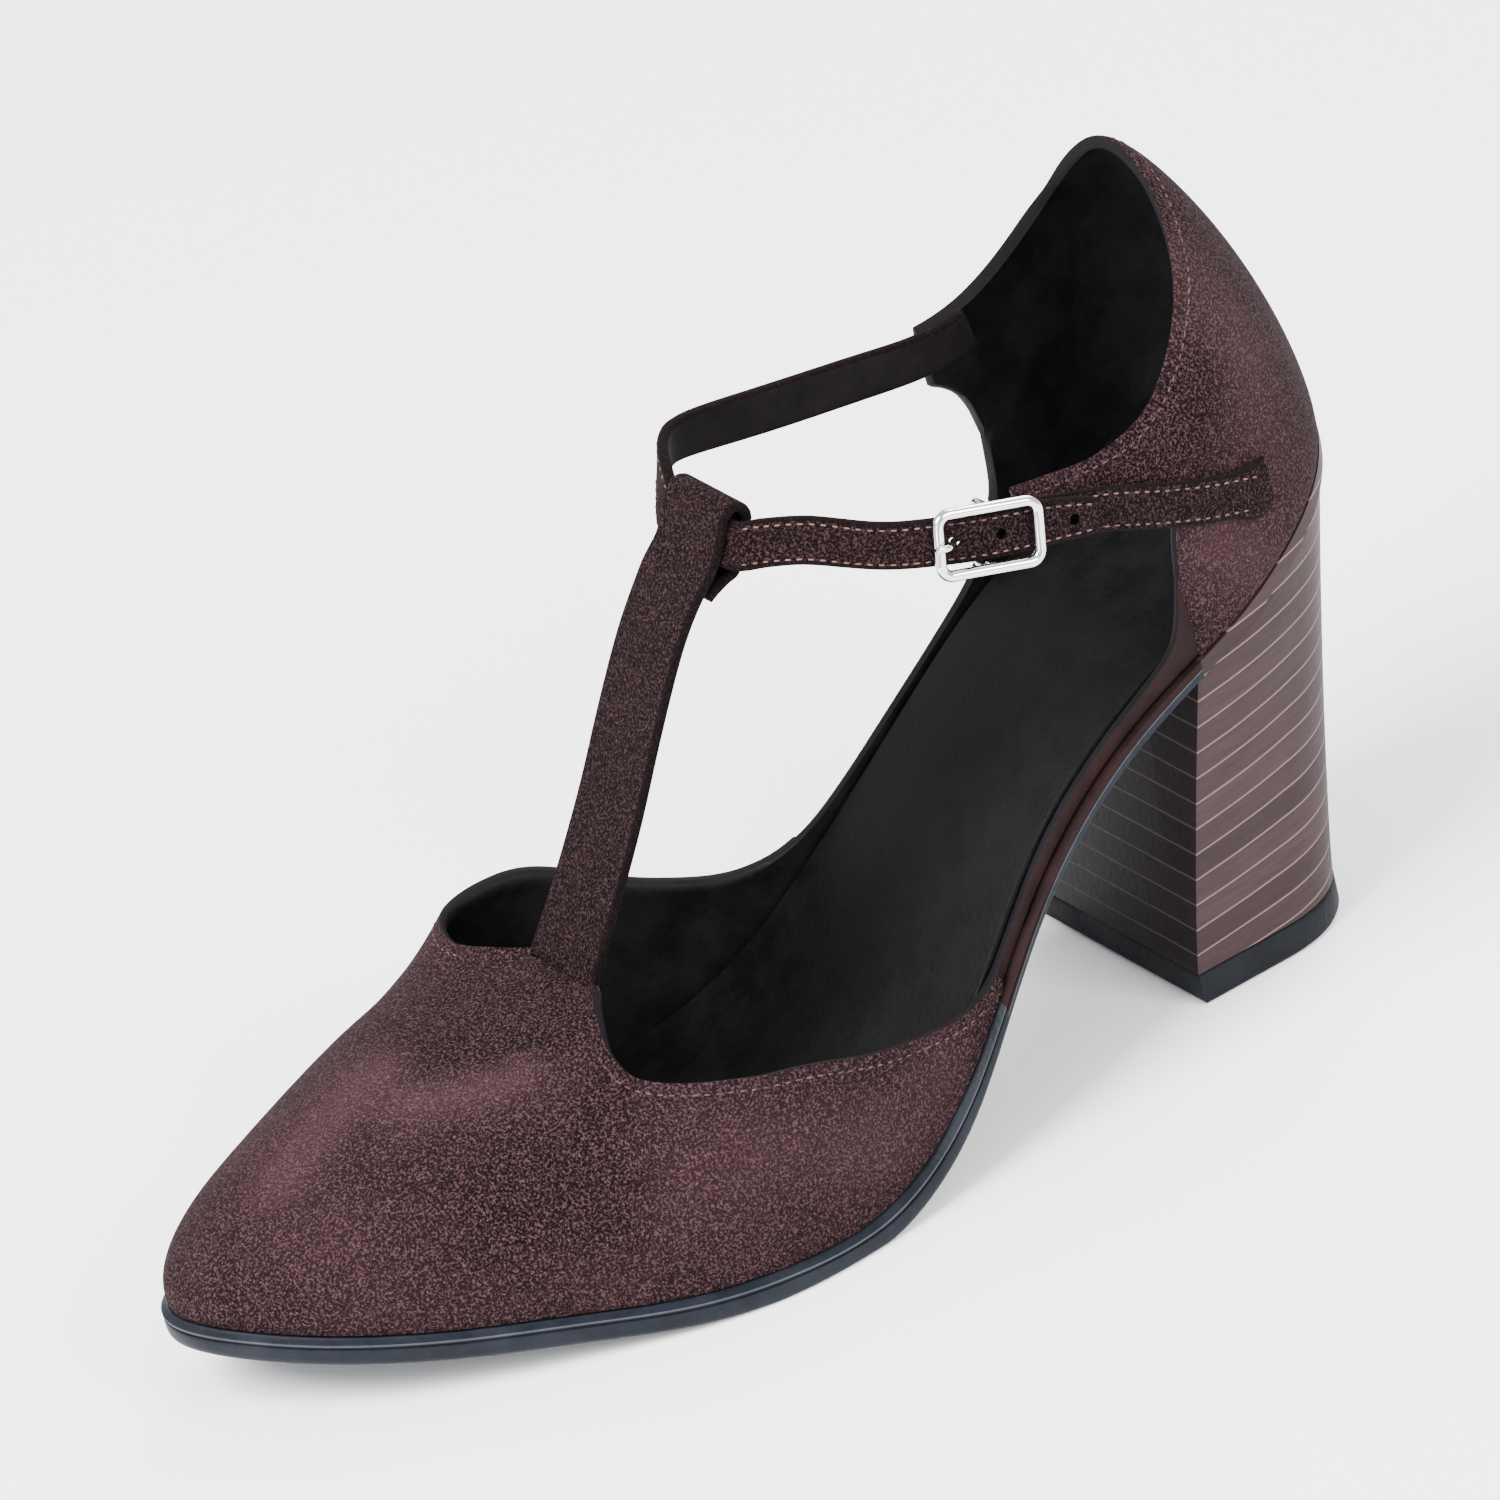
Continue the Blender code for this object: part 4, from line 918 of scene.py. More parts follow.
def buckle_frame():
    """Where the buckle sits: its middle on the last and its forward, upward and outward directions."""
    low, high = OUTER_LINE[3], OUTER_LINE[5]
    climb = OUTER_LINE[4].climb
    middle = last_point(BUCKLE_TURN, climb)
    out = surface_normal(BUCKLE_TURN, climb)
    forward = last_point(high.turn, high.climb) - last_point(low.turn, low.climb)
    forward = unit(forward - out * np.dot(forward, out))
    return middle, forward, np.cross(forward, out), out


def at_buckle(places):
    """Points from places in the buckle: forward, upward and outward."""
    middle, forward, upward, out = buckle_frame()
    places = np.asarray(places, float)
    return middle + places[:, :1] * forward + places[:, 1:2] * upward + places[:, 2:3] * out


def wire_object(name, points, radius, materials, closed=False, sides=14):
    """A round wire along a path, either open with flat ends or closed."""
    points = np.asarray(points, float)
    before = np.roll(points, 1, 0) if closed else np.concatenate([[2 * points[0] - points[1]], points[:-1]])
    after = np.roll(points, -1, 0) if closed else np.concatenate([points[1:], [2 * points[-1] - points[-2]]])
    tangent = unit(after - before)
    normal = np.zeros_like(points)
    start = np.cross(tangent[0], buckle_frame()[2])
    normal[0] = unit(start if np.linalg.norm(start) > 0.2 else np.cross(tangent[0], buckle_frame()[3]))
    for k in range(1, len(points)):
        normal[k] = unit(normal[k - 1] - tangent[k] * np.dot(normal[k - 1], tangent[k]))
    binormal = np.cross(tangent, normal)
    angles = (np.arange(sides) + 0.5) * 2.0 * math.pi / sides
    radii = np.broadcast_to(radius, (len(points),))
    rings = [
        points[k] + radii[k] * (np.outer(np.cos(angles), normal[k]) + np.outer(np.sin(angles), binormal[k]))
        for k in range(len(points))
    ]
    if closed:
        shift = int(np.argmin([np.linalg.norm(rings[-1] - np.roll(rings[0], -n, 0)) for n in range(sides)]))
    faces = []
    for k in range(len(points) if closed else len(points) - 1):
        last = k == len(points) - 1
        for n in range(sides):
            m = (n + 1) % sides
            ring, far, near = (0, (m + shift) % sides, (n + shift) % sides) if last else (k + 1, m, n)
            faces.append([k * sides + n, k * sides + m, ring * sides + far, ring * sides + near])
    if not closed:
        faces.append(list(range(sides))[::-1])
        faces.append([(len(points) - 1) * sides + n for n in range(sides)])
    return mesh_object(name, np.concatenate(rings), faces, materials, None, 60.0)


def combine(target, tools, operation):
    """Joins or cuts a piece with tool solids and removes the tools."""
    for tool in tools:
        modifier = target.modifiers.new("tool", "BOOLEAN")
        modifier.operation = operation
        modifier.solver = "EXACT"
        modifier.object = tool
    bake(target, 50.0)
    for tool in tools:
        bpy.data.objects.remove(tool, do_unlink=True)
    return target


# The bends at the bar's ends: inset from the ring's middle line and height over the bar.
BAR_BENDS = ((0.0, 0.0012), (0.0004, 0.0004), (0.0012, 0.0))


def build_frame(material):
    """The frame: a rounded ring over the strap and a centre bar that passes under it."""
    half = (BUCKLE_LENGTH - BUCKLE_WIRE) / 2
    tall = (BUCKLE_HEIGHT - BUCKLE_WIRE) / 2
    corner = BUCKLE_CORNER - BUCKLE_WIRE / 2
    ring = []
    for turn, (x, y) in enumerate(((1, 1), (-1, 1), (-1, -1), (1, -1))):
        for angle in np.linspace(0.0, math.pi / 2, 11) + turn * math.pi / 2:
            forward = x * (half - corner) + corner * math.cos(angle)
            ring.append((forward, y * (tall - corner) + corner * math.sin(angle), RING_OUT))
    item = wire_object("frame_metal", at_buckle(ring), BUCKLE_WIRE / 2, [material], True, 20)
    bar = [(0, tall, RING_OUT)]
    bar += [(0, tall - inset, BAR_OUT + out) for inset, out in BAR_BENDS]
    bar += [(0, -up, out) for _, up, out in bar[::-1]]
    tool = wire_object("bar", at_buckle(bar), BAR_WIRE / 2, [material], False, 16)
    return combine(item, [tool], "UNION")


# The prong's path beside the bar: forward and outward.
Bend = namedtuple("Bend", "forward out")
PRONG_LINE = (
    Bend(0.0020, 0.0009), Bend(0.0034, 0.0010), Bend(0.0045, 0.0019), Bend(0.0053, 0.0034),
    Bend(0.0061, 0.0050), Bend(0.0073, 0.00625), Bend(0.0082, 0.00645), Bend(0.0095, 0.0065),
)
PRONG_LOOP = 0.00165


def build_prong(material):
    """The prong, with its loop behind the bar and its tip over the frame's front."""
    angles = np.radians(np.linspace(380.0, 90.0, 28))
    loop = [(PRONG_LOOP * math.cos(a), 0.0, BAR_OUT + PRONG_LOOP * math.sin(a)) for a in angles]
    line = smooth_path([(bend.forward, 0.0, bend.out) for bend in PRONG_LINE], 4)
    path = np.concatenate([loop, line])
    radii = np.full(len(path), PRONG_WIRE / 2)
    radii[-3:] *= (0.98, 0.88, 0.60)
    return wire_object("prong_metal", at_buckle(path), radii, [material], False, 14)


def prong_room(material):
    """The prong's room: its full loop and its path, each with the gap round it."""
    angles = np.arange(24) * math.pi / 12
    loop = [(PRONG_LOOP * math.cos(a), 0.0, BAR_OUT + PRONG_LOOP * math.sin(a)) for a in angles]
    round_bar = wire_object("loop", at_buckle(loop), PRONG_WIRE / 2 + GAP, [material], True, 12)
    line = [(0.0, 0.0, BAR_OUT + PRONG_LOOP)] + [(bend.forward, 0.0, bend.out) for bend in PRONG_LINE]
    return round_bar, wire_object("path", at_buckle(line), PRONG_WIRE / 2 + GAP, [material], False, 12)


def buckle_strap_stations():
    """The short strap from the counter to the buckle, folded round the bar."""
    centres, across, _ = along_line(TAB_LINE, 1, 2)
    reach = BAR_WIRE / 2 + GAP + TAB_THICK / 2
    fold = [(-0.0030, 0.0, 0.0009)]
    angles = np.radians(np.linspace(90.0, -90.0, 9))
    fold += [(reach * math.cos(a), 0.0, BAR_OUT + reach * math.sin(a)) for a in angles]
    fold += [(-0.0030, 0.0, BAR_OUT - reach), (-0.0054, 0.0, BAR_OUT - reach)]
    centres = np.concatenate([centres, at_buckle(fold)])
    across = np.concatenate([across, [buckle_frame()[2]] * len(fold)])
    tangent = unit(np.gradient(centres, axis=0))
    across = unit(across - tangent * np.sum(across * tangent, axis=-1, keepdims=True))
    out = np.cross(across, tangent)
    widths = np.full(len(centres), TAB_WIDTH)
    widths[0] *= 0.92
    return [Ribbon(c, a, o, w) for c, a, o, w in zip(centres, across, out, widths)]


# A stitch along its length: place over its length and thickness over its full thickness.
THREAD_RINGS = ((-0.5, 0.35), (-0.42, 0.85), (-0.15, 1.0), (0.15, 1.0), (0.42, 0.85), (0.5, 0.35))


def capsules(name, places, tangents, ups, length, radius, material):
    """Many short threads as one mesh: a rounded rod at each place, flattened against the leather."""
    sides = 7
    angles = np.arange(sides) * 2.0 * math.pi / sides
    points = []
    faces = []
    for place, tangent, up in zip(places, tangents, ups):
        start = len(points)
        side = np.cross(tangent, up)
        for along, size in THREAD_RINGS:
            sink = radius * 0.9 * (2.0 * along) ** 4
            middle = place + tangent * along * length - up * sink
            for angle in angles:
                points.append(middle + radius * size * (side * math.cos(angle) + up * 0.8 * math.sin(angle)))
        for k in range(len(THREAD_RINGS) - 1):
            for n in range(sides):
                m = (n + 1) % sides
                low = start + k * sides
                high = low + sides
                faces.append([low + n, low + m, high + m, high + n])
        faces.append([start + n for n in range(sides)][::-1])
        faces.append([start + (len(THREAD_RINGS) - 1) * sides + n for n in range(sides)])
    return mesh_object(name, points, faces, [material], None, 80.0)


def even_places(points, normals, pitch):
    """Places one pitch apart along a line, with their directions along it and out of the leather."""
    lengths = np.concatenate([[0.0], np.cumsum(np.linalg.norm(np.diff(points, axis=0), axis=1))])
    count = max(int(lengths[-1] / pitch), 1)
    wanted = (np.arange(count) + 0.5) * lengths[-1] / count

    def at(distances, values):
        return np.stack([np.interp(distances, lengths, values[:, n]) for n in range(3)], -1)

    places = at(wanted, points)
    ups = unit(at(wanted, normals))
    tangents = unit(at(wanted + 0.0004, points) - at(wanted - 0.0004, points))
    return places, unit(tangents - ups * np.sum(tangents * ups, axis=-1, keepdims=True)), ups


def settle(targets, turns, climbs):
    """Places of the last nearest to target points, found from places close by."""
    turns = np.array(turns, float)
    climbs = np.array(climbs, float)
    for _ in range(8):
        here = last_point(turns, climbs)
        by_turn = (last_point(turns + 0.005, climbs) - last_point(turns - 0.005, climbs)) / 0.01
        by_climb = (last_point(turns, climbs + 0.005) - last_point(turns, climbs - 0.005)) / 0.01
        miss = targets - here
        aa = np.sum(by_turn * by_turn, -1)
        bb = np.sum(by_climb * by_climb, -1)
        ab = np.sum(by_turn * by_climb, -1)
        ta = np.sum(miss * by_turn, -1)
        tb = np.sum(miss * by_climb, -1)
        scale = np.maximum(aa * bb - ab * ab, 1e-12)
        turns = turns + np.clip((ta * bb - tb * ab) / scale, -0.3, 0.3)
        climbs = np.clip(climbs + np.clip((tb * aa - ta * ab) / scale, -0.1, 0.1), 0.01, 0.99)
    return turns, climbs


def edge_row(turns, climbs, inset, way, depth):
    """A line on the suede beside an edge: its points and normals. way is 1 or -1, the side of the edge."""
    edge = last_point(turns, climbs)
    normal = surface_normal(turns, climbs)
    tangent = unit(np.gradient(edge, axis=0))
    inward = np.cross(normal, tangent) * way
    turns, climbs = settle(edge + inward * inset, turns, climbs)
    base = last_point(turns, climbs)
    normal = surface_normal(turns, climbs)
    return base + normal * relief(base, depth)[:, None], normal


# How far the rows of stitches lie inside a strap's upper and lower edge.
ROW_INSETS = {1: 0.0012, -1: 0.0010}


def strap_row(stations, thick, side):
    """A line on a strap's face beside its upper edge (1) or its lower one (-1), and the normals there."""
    points = []
    for station in stations:
        reach = (station.width / 2 - ROW_INSETS[side]) * side
        points.append(station.centre + station.across * reach + station.out * thick / 2)
    return np.array(points), np.array([station.out for station in stations])


# Looks
GROUPS = {}
LOOKS = {}
NAP_SPECULAR = 0.06
SATIN_SPECULAR = 0.08


def add_node(tree, kind, values=None, **settings):
    """A shader node with its settings and its own socket values."""
    item = tree.nodes.new(kind)
    for name, value in settings.items():
        setattr(item, name, value)
    for name, value in (values or {}).items():
        item.inputs[name].default_value = value
    return item


def join(tree, *pairs):
    """Links sockets, each pair an output and an input."""
    for source, target in pairs:
        tree.links.new(source, target)


def new_group(name, inputs, outputs):
    """A node group with named sockets, its inner tree and its two end nodes."""
    tree = bpy.data.node_groups.new(name, "ShaderNodeTree")
    for label, kind, value in inputs:
        socket = tree.interface.new_socket(name=label, in_out="INPUT", socket_type=kind)
        if value is not None:
            socket.default_value = value
    for label, kind in outputs:
        tree.interface.new_socket(name=label, in_out="OUTPUT", socket_type=kind)
    return tree, tree.nodes.new("NodeGroupInput"), tree.nodes.new("NodeGroupOutput")


def nap_group():
    """Suede: fine flecks, brushed patches and the height of the nap."""
    inputs = (("Fleck Scale", "NodeSocketFloat", 2350.0), ("Patch Scale", "NodeSocketFloat", 42.0),
              ("Depth", "NodeSocketFloat", 0.5))
    outputs = (("Fleck", "NodeSocketFloat"), ("Patch", "NodeSocketFloat"), ("Normal", "NodeSocketVector"))
    tree, start, end = new_group("Nap", inputs, outputs)
    place = add_node(tree, "ShaderNodeTexCoord")
    fine = add_node(tree, "ShaderNodeTexNoise", {"Detail": 3.0, "Roughness": 0.75})
    coarse = add_node(tree, "ShaderNodeTexNoise", {"Scale": 620.0, "Detail": 3.0, "Roughness": 0.65})
    patch = add_node(tree, "ShaderNodeTexNoise", {"Detail": 4.0, "Roughness": 0.55, "Distortion": 0.6})
    blend = add_node(tree, "ShaderNodeMath", {1: 0.45}, operation="MULTIPLY_ADD")
    bump = add_node(tree, "ShaderNodeBump", {"Distance": 0.0005})
    sharpen = add_node(tree, "ShaderNodeMapRange", {"From Min": 0.48, "From Max": 0.82})
    spread = add_node(tree, "ShaderNodeMapRange", {"From Min": 0.30, "From Max": 0.75})
    for texture in (fine, coarse, patch):
        join(tree, (place.outputs["Object"], texture.inputs["Vector"]))
    join(
        tree,
        (start.outputs["Fleck Scale"], fine.inputs["Scale"]),
        (start.outputs["Patch Scale"], patch.inputs["Scale"]),
        (coarse.outputs["Fac"], blend.inputs[0]),
        (fine.outputs["Fac"], blend.inputs[2]),
        (blend.outputs[0], bump.inputs["Height"]),
        (start.outputs["Depth"], bump.inputs["Strength"]),
        (fine.outputs["Fac"], sharpen.inputs["Value"]),
        (patch.outputs["Fac"], spread.inputs["Value"]),
        (sharpen.outputs["Result"], end.inputs["Fleck"]),
        (spread.outputs["Result"], end.inputs["Patch"]),
        (bump.outputs["Normal"], end.inputs["Normal"]),
    )
    return tree


def grain_group():
    """Smooth leather, rubber and metal: soft grain, wear marks and their height."""
    inputs = (("Scale", "NodeSocketFloat", 900.0), ("Depth", "NodeSocketFloat", 0.2))
    outputs = (("Grain", "NodeSocketFloat"), ("Wear", "NodeSocketFloat"), ("Normal", "NodeSocketVector"))
    tree, start, end = new_group("Grain", inputs, outputs)
    place = add_node(tree, "ShaderNodeTexCoord")
    cells = add_node(tree, "ShaderNodeTexVoronoi", feature="SMOOTH_F1")
    wear = add_node(tree, "ShaderNodeTexNoise", {"Scale": 130.0, "Detail": 5.0, "Roughness": 0.65})
    bump = add_node(tree, "ShaderNodeBump", {"Distance": 0.0003})
    spread = add_node(tree, "ShaderNodeMapRange", {"From Min": 0.4, "From Max": 0.7})
    join(
        tree,
        (place.outputs["Object"], cells.inputs["Vector"]),
        (place.outputs["Object"], wear.inputs["Vector"]),
        (start.outputs["Scale"], cells.inputs["Scale"]),
        (start.outputs["Depth"], bump.inputs["Strength"]),
        (cells.outputs["Distance"], bump.inputs["Height"]),
        (cells.outputs["Distance"], end.inputs["Grain"]),
        (wear.outputs["Fac"], spread.inputs["Value"]),
        (spread.outputs["Result"], end.inputs["Wear"]),
        (bump.outputs["Normal"], end.inputs["Normal"]),
    )
    return tree


def strata_group():
    """Stacked leather: thin light lines between level layers, and each layer's own tone."""
    inputs = (("Pitch", "NodeSocketFloat", 0.0042), ("Line", "NodeSocketFloat", 0.10),
              ("Wobble", "NodeSocketFloat", 0.0004))
    outputs = (("Line Mask", "NodeSocketFloat"), ("Tone", "NodeSocketFloat"), ("Streak", "NodeSocketFloat"))
    tree, start, end = new_group("Strata", inputs, outputs)
    place = add_node(tree, "ShaderNodeTexCoord")
    parts = add_node(tree, "ShaderNodeSeparateXYZ")
    wobble = add_node(tree, "ShaderNodeTexNoise", {"Scale": 45.0, "Detail": 2.0})
    shift = add_node(tree, "ShaderNodeMath", operation="MULTIPLY_ADD")
    tilt = add_node(tree, "ShaderNodeMath", {1: -0.09}, operation="MULTIPLY_ADD")
    layer = add_node(tree, "ShaderNodeMath", operation="DIVIDE")
    share = add_node(tree, "ShaderNodeMath", operation="FRACT")
    whole = add_node(tree, "ShaderNodeMath", operation="FLOOR")
    tone = add_node(tree, "ShaderNodeTexWhiteNoise", noise_dimensions="1D")
    fade = {"To Min": 1.0, "To Max": 0.0}
    mask = add_node(tree, "ShaderNodeMapRange", fade, interpolation_type="SMOOTHSTEP")
    stretch = add_node(tree, "ShaderNodeMapping", {"Scale": (120.0, 120.0, 1500.0)})
    streak = add_node(tree, "ShaderNodeTexNoise", {"Scale": 1.0, "Detail": 4.0, "Roughness": 0.6})
    join(
        tree,
        (place.outputs["Object"], parts.inputs["Vector"]),
        (place.outputs["Object"], wobble.inputs["Vector"]),
        (place.outputs["Object"], stretch.inputs["Vector"]),
        (stretch.outputs["Vector"], streak.inputs["Vector"]),
        (wobble.outputs["Fac"], shift.inputs[0]),
        (start.outputs["Wobble"], shift.inputs[1]),
        (parts.outputs["Y"], tilt.inputs[0]),
        (parts.outputs["Z"], tilt.inputs[2]),
        (tilt.outputs[0], shift.inputs[2]),
        (shift.outputs[0], layer.inputs[0]),
        (start.outputs["Pitch"], layer.inputs[1]),
        (layer.outputs[0], share.inputs[0]),
        (layer.outputs[0], whole.inputs[0]),
        (whole.outputs[0], tone.inputs["W"]),
        (share.outputs[0], mask.inputs["Value"]),
        (start.outputs["Line"], mask.inputs["From Max"]),
        (mask.outputs["Result"], end.inputs["Line Mask"]),
        (tone.outputs["Value"], end.inputs["Tone"]),
        (streak.outputs["Fac"], end.inputs["Streak"]),
    )
    return tree


def new_material(name):
    """An empty node material and its shader."""
    item = bpy.data.materials.new(name)
    item.use_nodes = True
    return item, item.node_tree, item.node_tree.nodes["Principled BSDF"]


def mix_colours(tree, first, second, mask):
    """A colour that turns from one to another with a mask. Each is a colour or a socket."""
    item = add_node(tree, "ShaderNodeMix", data_type="RGBA")
    for socket, value in ((item.inputs[6], first), (item.inputs[7], second)):
        if isinstance(value, tuple):
            socket.default_value = (*value, 1.0)
        else:
            tree.links.new(value, socket)
    tree.links.new(mask, item.inputs[0])
    return item.outputs[2]


def suede_material(name, base, patch, fleck, depth, sheen):
    """Brushed suede: a base colour, lighter patches and fine light flecks. The patches come from the nap's
    noise and from the upper's painted marks, some of which are painted highlights.
    """
    item, tree, shader = new_material(name)
    nap = add_node(tree, "ShaderNodeGroup", node_tree=GROUPS["nap"])
    nap.inputs["Depth"].default_value = depth
    # The upper's painted marks, painted highlights among them, lighten the suede towards the patch colour.
    painted = add_node(tree, "ShaderNodeAttribute", attribute_name="brushed_and_highlight")
    share = add_node(tree, "ShaderNodeMath", {1: 0.35}, operation="MULTIPLY_ADD", use_clamp=True)
    tree.links.new(nap.outputs["Patch"], share.inputs[0])
    tree.links.new(painted.outputs["Fac"], share.inputs[2])
    brushed_and_highlight = mix_colours(tree, base, patch, share.outputs[0])
    colour = mix_colours(tree, brushed_and_highlight, fleck, nap.outputs["Fleck"])
    tree.links.new(colour, shader.inputs["Base Color"])
    tree.links.new(nap.outputs["Normal"], shader.inputs["Normal"])
    shader.inputs["Roughness"].default_value = 0.92
    shader.inputs["Specular IOR Level"].default_value = NAP_SPECULAR
    shader.inputs["Sheen Weight"].default_value = sheen
    shader.inputs["Sheen Roughness"].default_value = 0.45
    shader.inputs["Sheen Tint"].default_value = (0.62, 0.46, 0.46, 1.0)
    return item


def grain_material(name, base, worn, rough, depth=0.2, scale=900.0, metal=0.0):
    """A smooth finish with fine grain and worn patches. depth and scale are those of its grain."""
    item, tree, shader = new_material(name)
    grain = add_node(tree, "ShaderNodeGroup", node_tree=GROUPS["grain"])
    grain.inputs["Scale"].default_value = scale
    grain.inputs["Depth"].default_value = depth
    tree.links.new(mix_colours(tree, base, worn, grain.outputs["Wear"]), shader.inputs["Base Color"])
    gloss = add_node(tree, "ShaderNodeMapRange", {"To Min": rough, "To Max": min(rough * 1.35, 1.0)})
    tree.links.new(grain.outputs["Wear"], gloss.inputs["Value"])
    tree.links.new(gloss.outputs["Result"], shader.inputs["Roughness"])
    tree.links.new(grain.outputs["Normal"], shader.inputs["Normal"])
    shader.inputs["Metallic"].default_value = metal
    shader.inputs["Specular IOR Level"].default_value = 0.5 if metal else SATIN_SPECULAR
    return item


def stack_material(name, dark, light, line, rough):
    """Stacked leather in level layers with thin light lines."""
    item, tree, shader = new_material(name)
    strata = add_node(tree, "ShaderNodeGroup", node_tree=GROUPS["strata"])
    grain = add_node(tree, "ShaderNodeGroup", node_tree=GROUPS["grain"])
    layered = mix_colours(tree, dark, light, strata.outputs["Tone"])
    streaked = mix_colours(tree, layered, tuple(0.55 * c for c in dark), strata.outputs["Streak"])
    colour = mix_colours(tree, streaked, line, strata.outputs["Line Mask"])
    tree.links.new(colour, shader.inputs["Base Color"])
    bump = add_node(tree, "ShaderNodeBump", {"Strength": 0.35, "Distance": 0.0002}, invert=True)
    tree.links.new(strata.outputs["Line Mask"], bump.inputs["Height"])
    tree.links.new(grain.outputs["Normal"], bump.inputs["Normal"])
    tree.links.new(bump.outputs["Normal"], shader.inputs["Normal"])
    shader.inputs["Roughness"].default_value = rough
    shader.inputs["Specular IOR Level"].default_value = SATIN_SPECULAR
    shader.inputs["Coat Weight"].default_value = 0.02
    return item


Finish = namedtuple("Finish", "name base worn rough depth scale metal", defaults=(0.2, 900.0, 0.0))
# Smooth finishes: colour, worn colour, roughness, depth and scale of the grain, and 1 for metal.
FINISHES = {
    "edge": Finish("black_edge", (0.003, 0.0024, 0.0028), (0.007, 0.005, 0.0055), 0.6),
    "lining": Finish("black_lining", (0.0022, 0.0022, 0.0028), (0.0045, 0.0045, 0.0055), 0.5),
    "band": Finish("smooth_band", (0.0078, 0.0033, 0.0036), (0.0165, 0.0074, 0.0076), 0.7, 0.35, 700.0),
    "sock": Finish("black_sock", (0.0014, 0.0013, 0.0015), (0.0034, 0.0032, 0.0036), 0.55, 0.25, 1100.0),
    "sole": Finish("sole_edge", (0.0060, 0.0072, 0.0105), (0.0115, 0.0135, 0.0185), 0.40, 0.15, 1500.0),
    "line": Finish("sole_line", (0.030, 0.034, 0.042), (0.050, 0.056, 0.066), 0.42),
    "rubber": Finish("rubber", (0.0048, 0.0053, 0.0068), (0.0095, 0.0105, 0.0130), 0.55, 0.3, 1300.0),
    "corner": Finish("heel_corner", (0.050, 0.033, 0.031), (0.100, 0.070, 0.062), 0.50),
    "nickel": Finish("polished_nickel", (0.74, 0.74, 0.73), (0.66, 0.66, 0.66), 0.10, 0.02, 400.0, 1.0),
    "dark_thread": Finish("dark_thread", (0.045, 0.025, 0.023), (0.095, 0.057, 0.052), 0.65, 0.6, 2600.0),
}


def make_looks(settings):
    """The node groups and the materials of the whole shoe, made once."""
    if LOOKS:
        return
    GROUPS["nap"] = nap_group()
    GROUPS["grain"] = grain_group()
    GROUPS["strata"] = strata_group()
    base, patch, fleck = settings.suede_base[:], settings.suede_patch[:], settings.suede_fleck[:]
    dark, light = settings.stack_dark[:], settings.stack_light[:]
    LOOKS["suede"] = suede_material("brown_suede", base, patch, fleck, 1.0, 0.0)
    LOOKS["strap"] = suede_material(
        "dark_suede", (0.0017, 0.0007, 0.0009), (0.0046, 0.0020, 0.0023), (0.082, 0.0410, 0.0450), 1.0, 0.0)
    LOOKS["raw"] = suede_material(
        "raw_edge", (0.0018, 0.0008, 0.0010), (0.0032, 0.0015, 0.0018), (0.018, 0.009, 0.010), 0.9, 0.02)
    LOOKS["stack"] = stack_material("stacked_heel", dark, light, (0.160, 0.105, 0.092), 0.55)
    # The heel's breast: the same stacked leather in much darker colours, a painted shade under the shank.
    LOOKS["breast"] = stack_material(
        "heel_breast_painted_shade", (0.0062, 0.0038, 0.0045), (0.0105, 0.0066, 0.0075), (0.044, 0.030, 0.029), 0.6)
    thread = settings.thread_colour[:]
    LOOKS["thread"] = grain_material("thread", thread, (0.150, 0.094, 0.078), 0.65, 0.6, 2600.0)
    for key, finish in FINISHES.items():
        LOOKS[key] = grain_material(*finish)


def make_floor_look():
    """Plain pale paint for the studio floor."""
    item, tree, shader = new_material("studio_floor")
    grain = add_node(tree, "ShaderNodeTexNoise", {"Scale": 40.0, "Detail": 3.0})
    colour = mix_colours(tree, (0.98, 0.98, 0.98), (0.99, 0.99, 0.99), grain.outputs["Fac"])
    tree.links.new(colour, shader.inputs["Base Color"])
    shader.inputs["Roughness"].default_value = 0.8
    return item


# The camera in the last's frame: degrees round from the toe, above the floor and of roll, and its distance.
TARGET = np.array([0.0, -0.104, 0.060])
AZIMUTH = 66.94
ELEVATION = 26.62
ROLL = -16.67
DISTANCE = 2.05978
# How far the camera stands to the left of and above the line to its target.
ASIDE = (0.09988, 0.03298)
FILL = 0.82
SENSOR = 36.0
# The studio's floor, the pale light from all round and its strength.
FLOOR_REACH = 12.0
AIR_COLOUR = (0.93, 0.95, 1.0, 1.0)
AIR_STRENGTH = 1.3


def camera_axes():
    """The camera's place and its right, up and back directions, as the photograph shows the shoe."""
    a, e, roll = (math.radians(v) for v in (AZIMUTH, ELEVATION, ROLL))
    back = np.array([math.sin(a) * math.cos(e), -math.cos(a) * math.cos(e), math.sin(e)])
    level = np.array([math.cos(a), math.sin(a), 0.0])
    upright = np.cross(back, level)
    right = level * math.cos(roll) + upright * math.sin(roll)
    up = upright * math.cos(roll) - level * math.sin(roll)
    place = TARGET - right * ASIDE[0] + up * ASIDE[1] + back * DISTANCE
    return place, right, up, back


def shoe_points():
    """Every corner of the shoe's pieces, in the CAD frame."""
    groups = []
    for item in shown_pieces():
        if item.type != "MESH":
            continue
        flat = np.zeros(len(item.data.vertices) * 3)
        item.data.vertices.foreach_get("co", flat)
        groups.append(flat.reshape(-1, 3))
    return np.concatenate(groups)


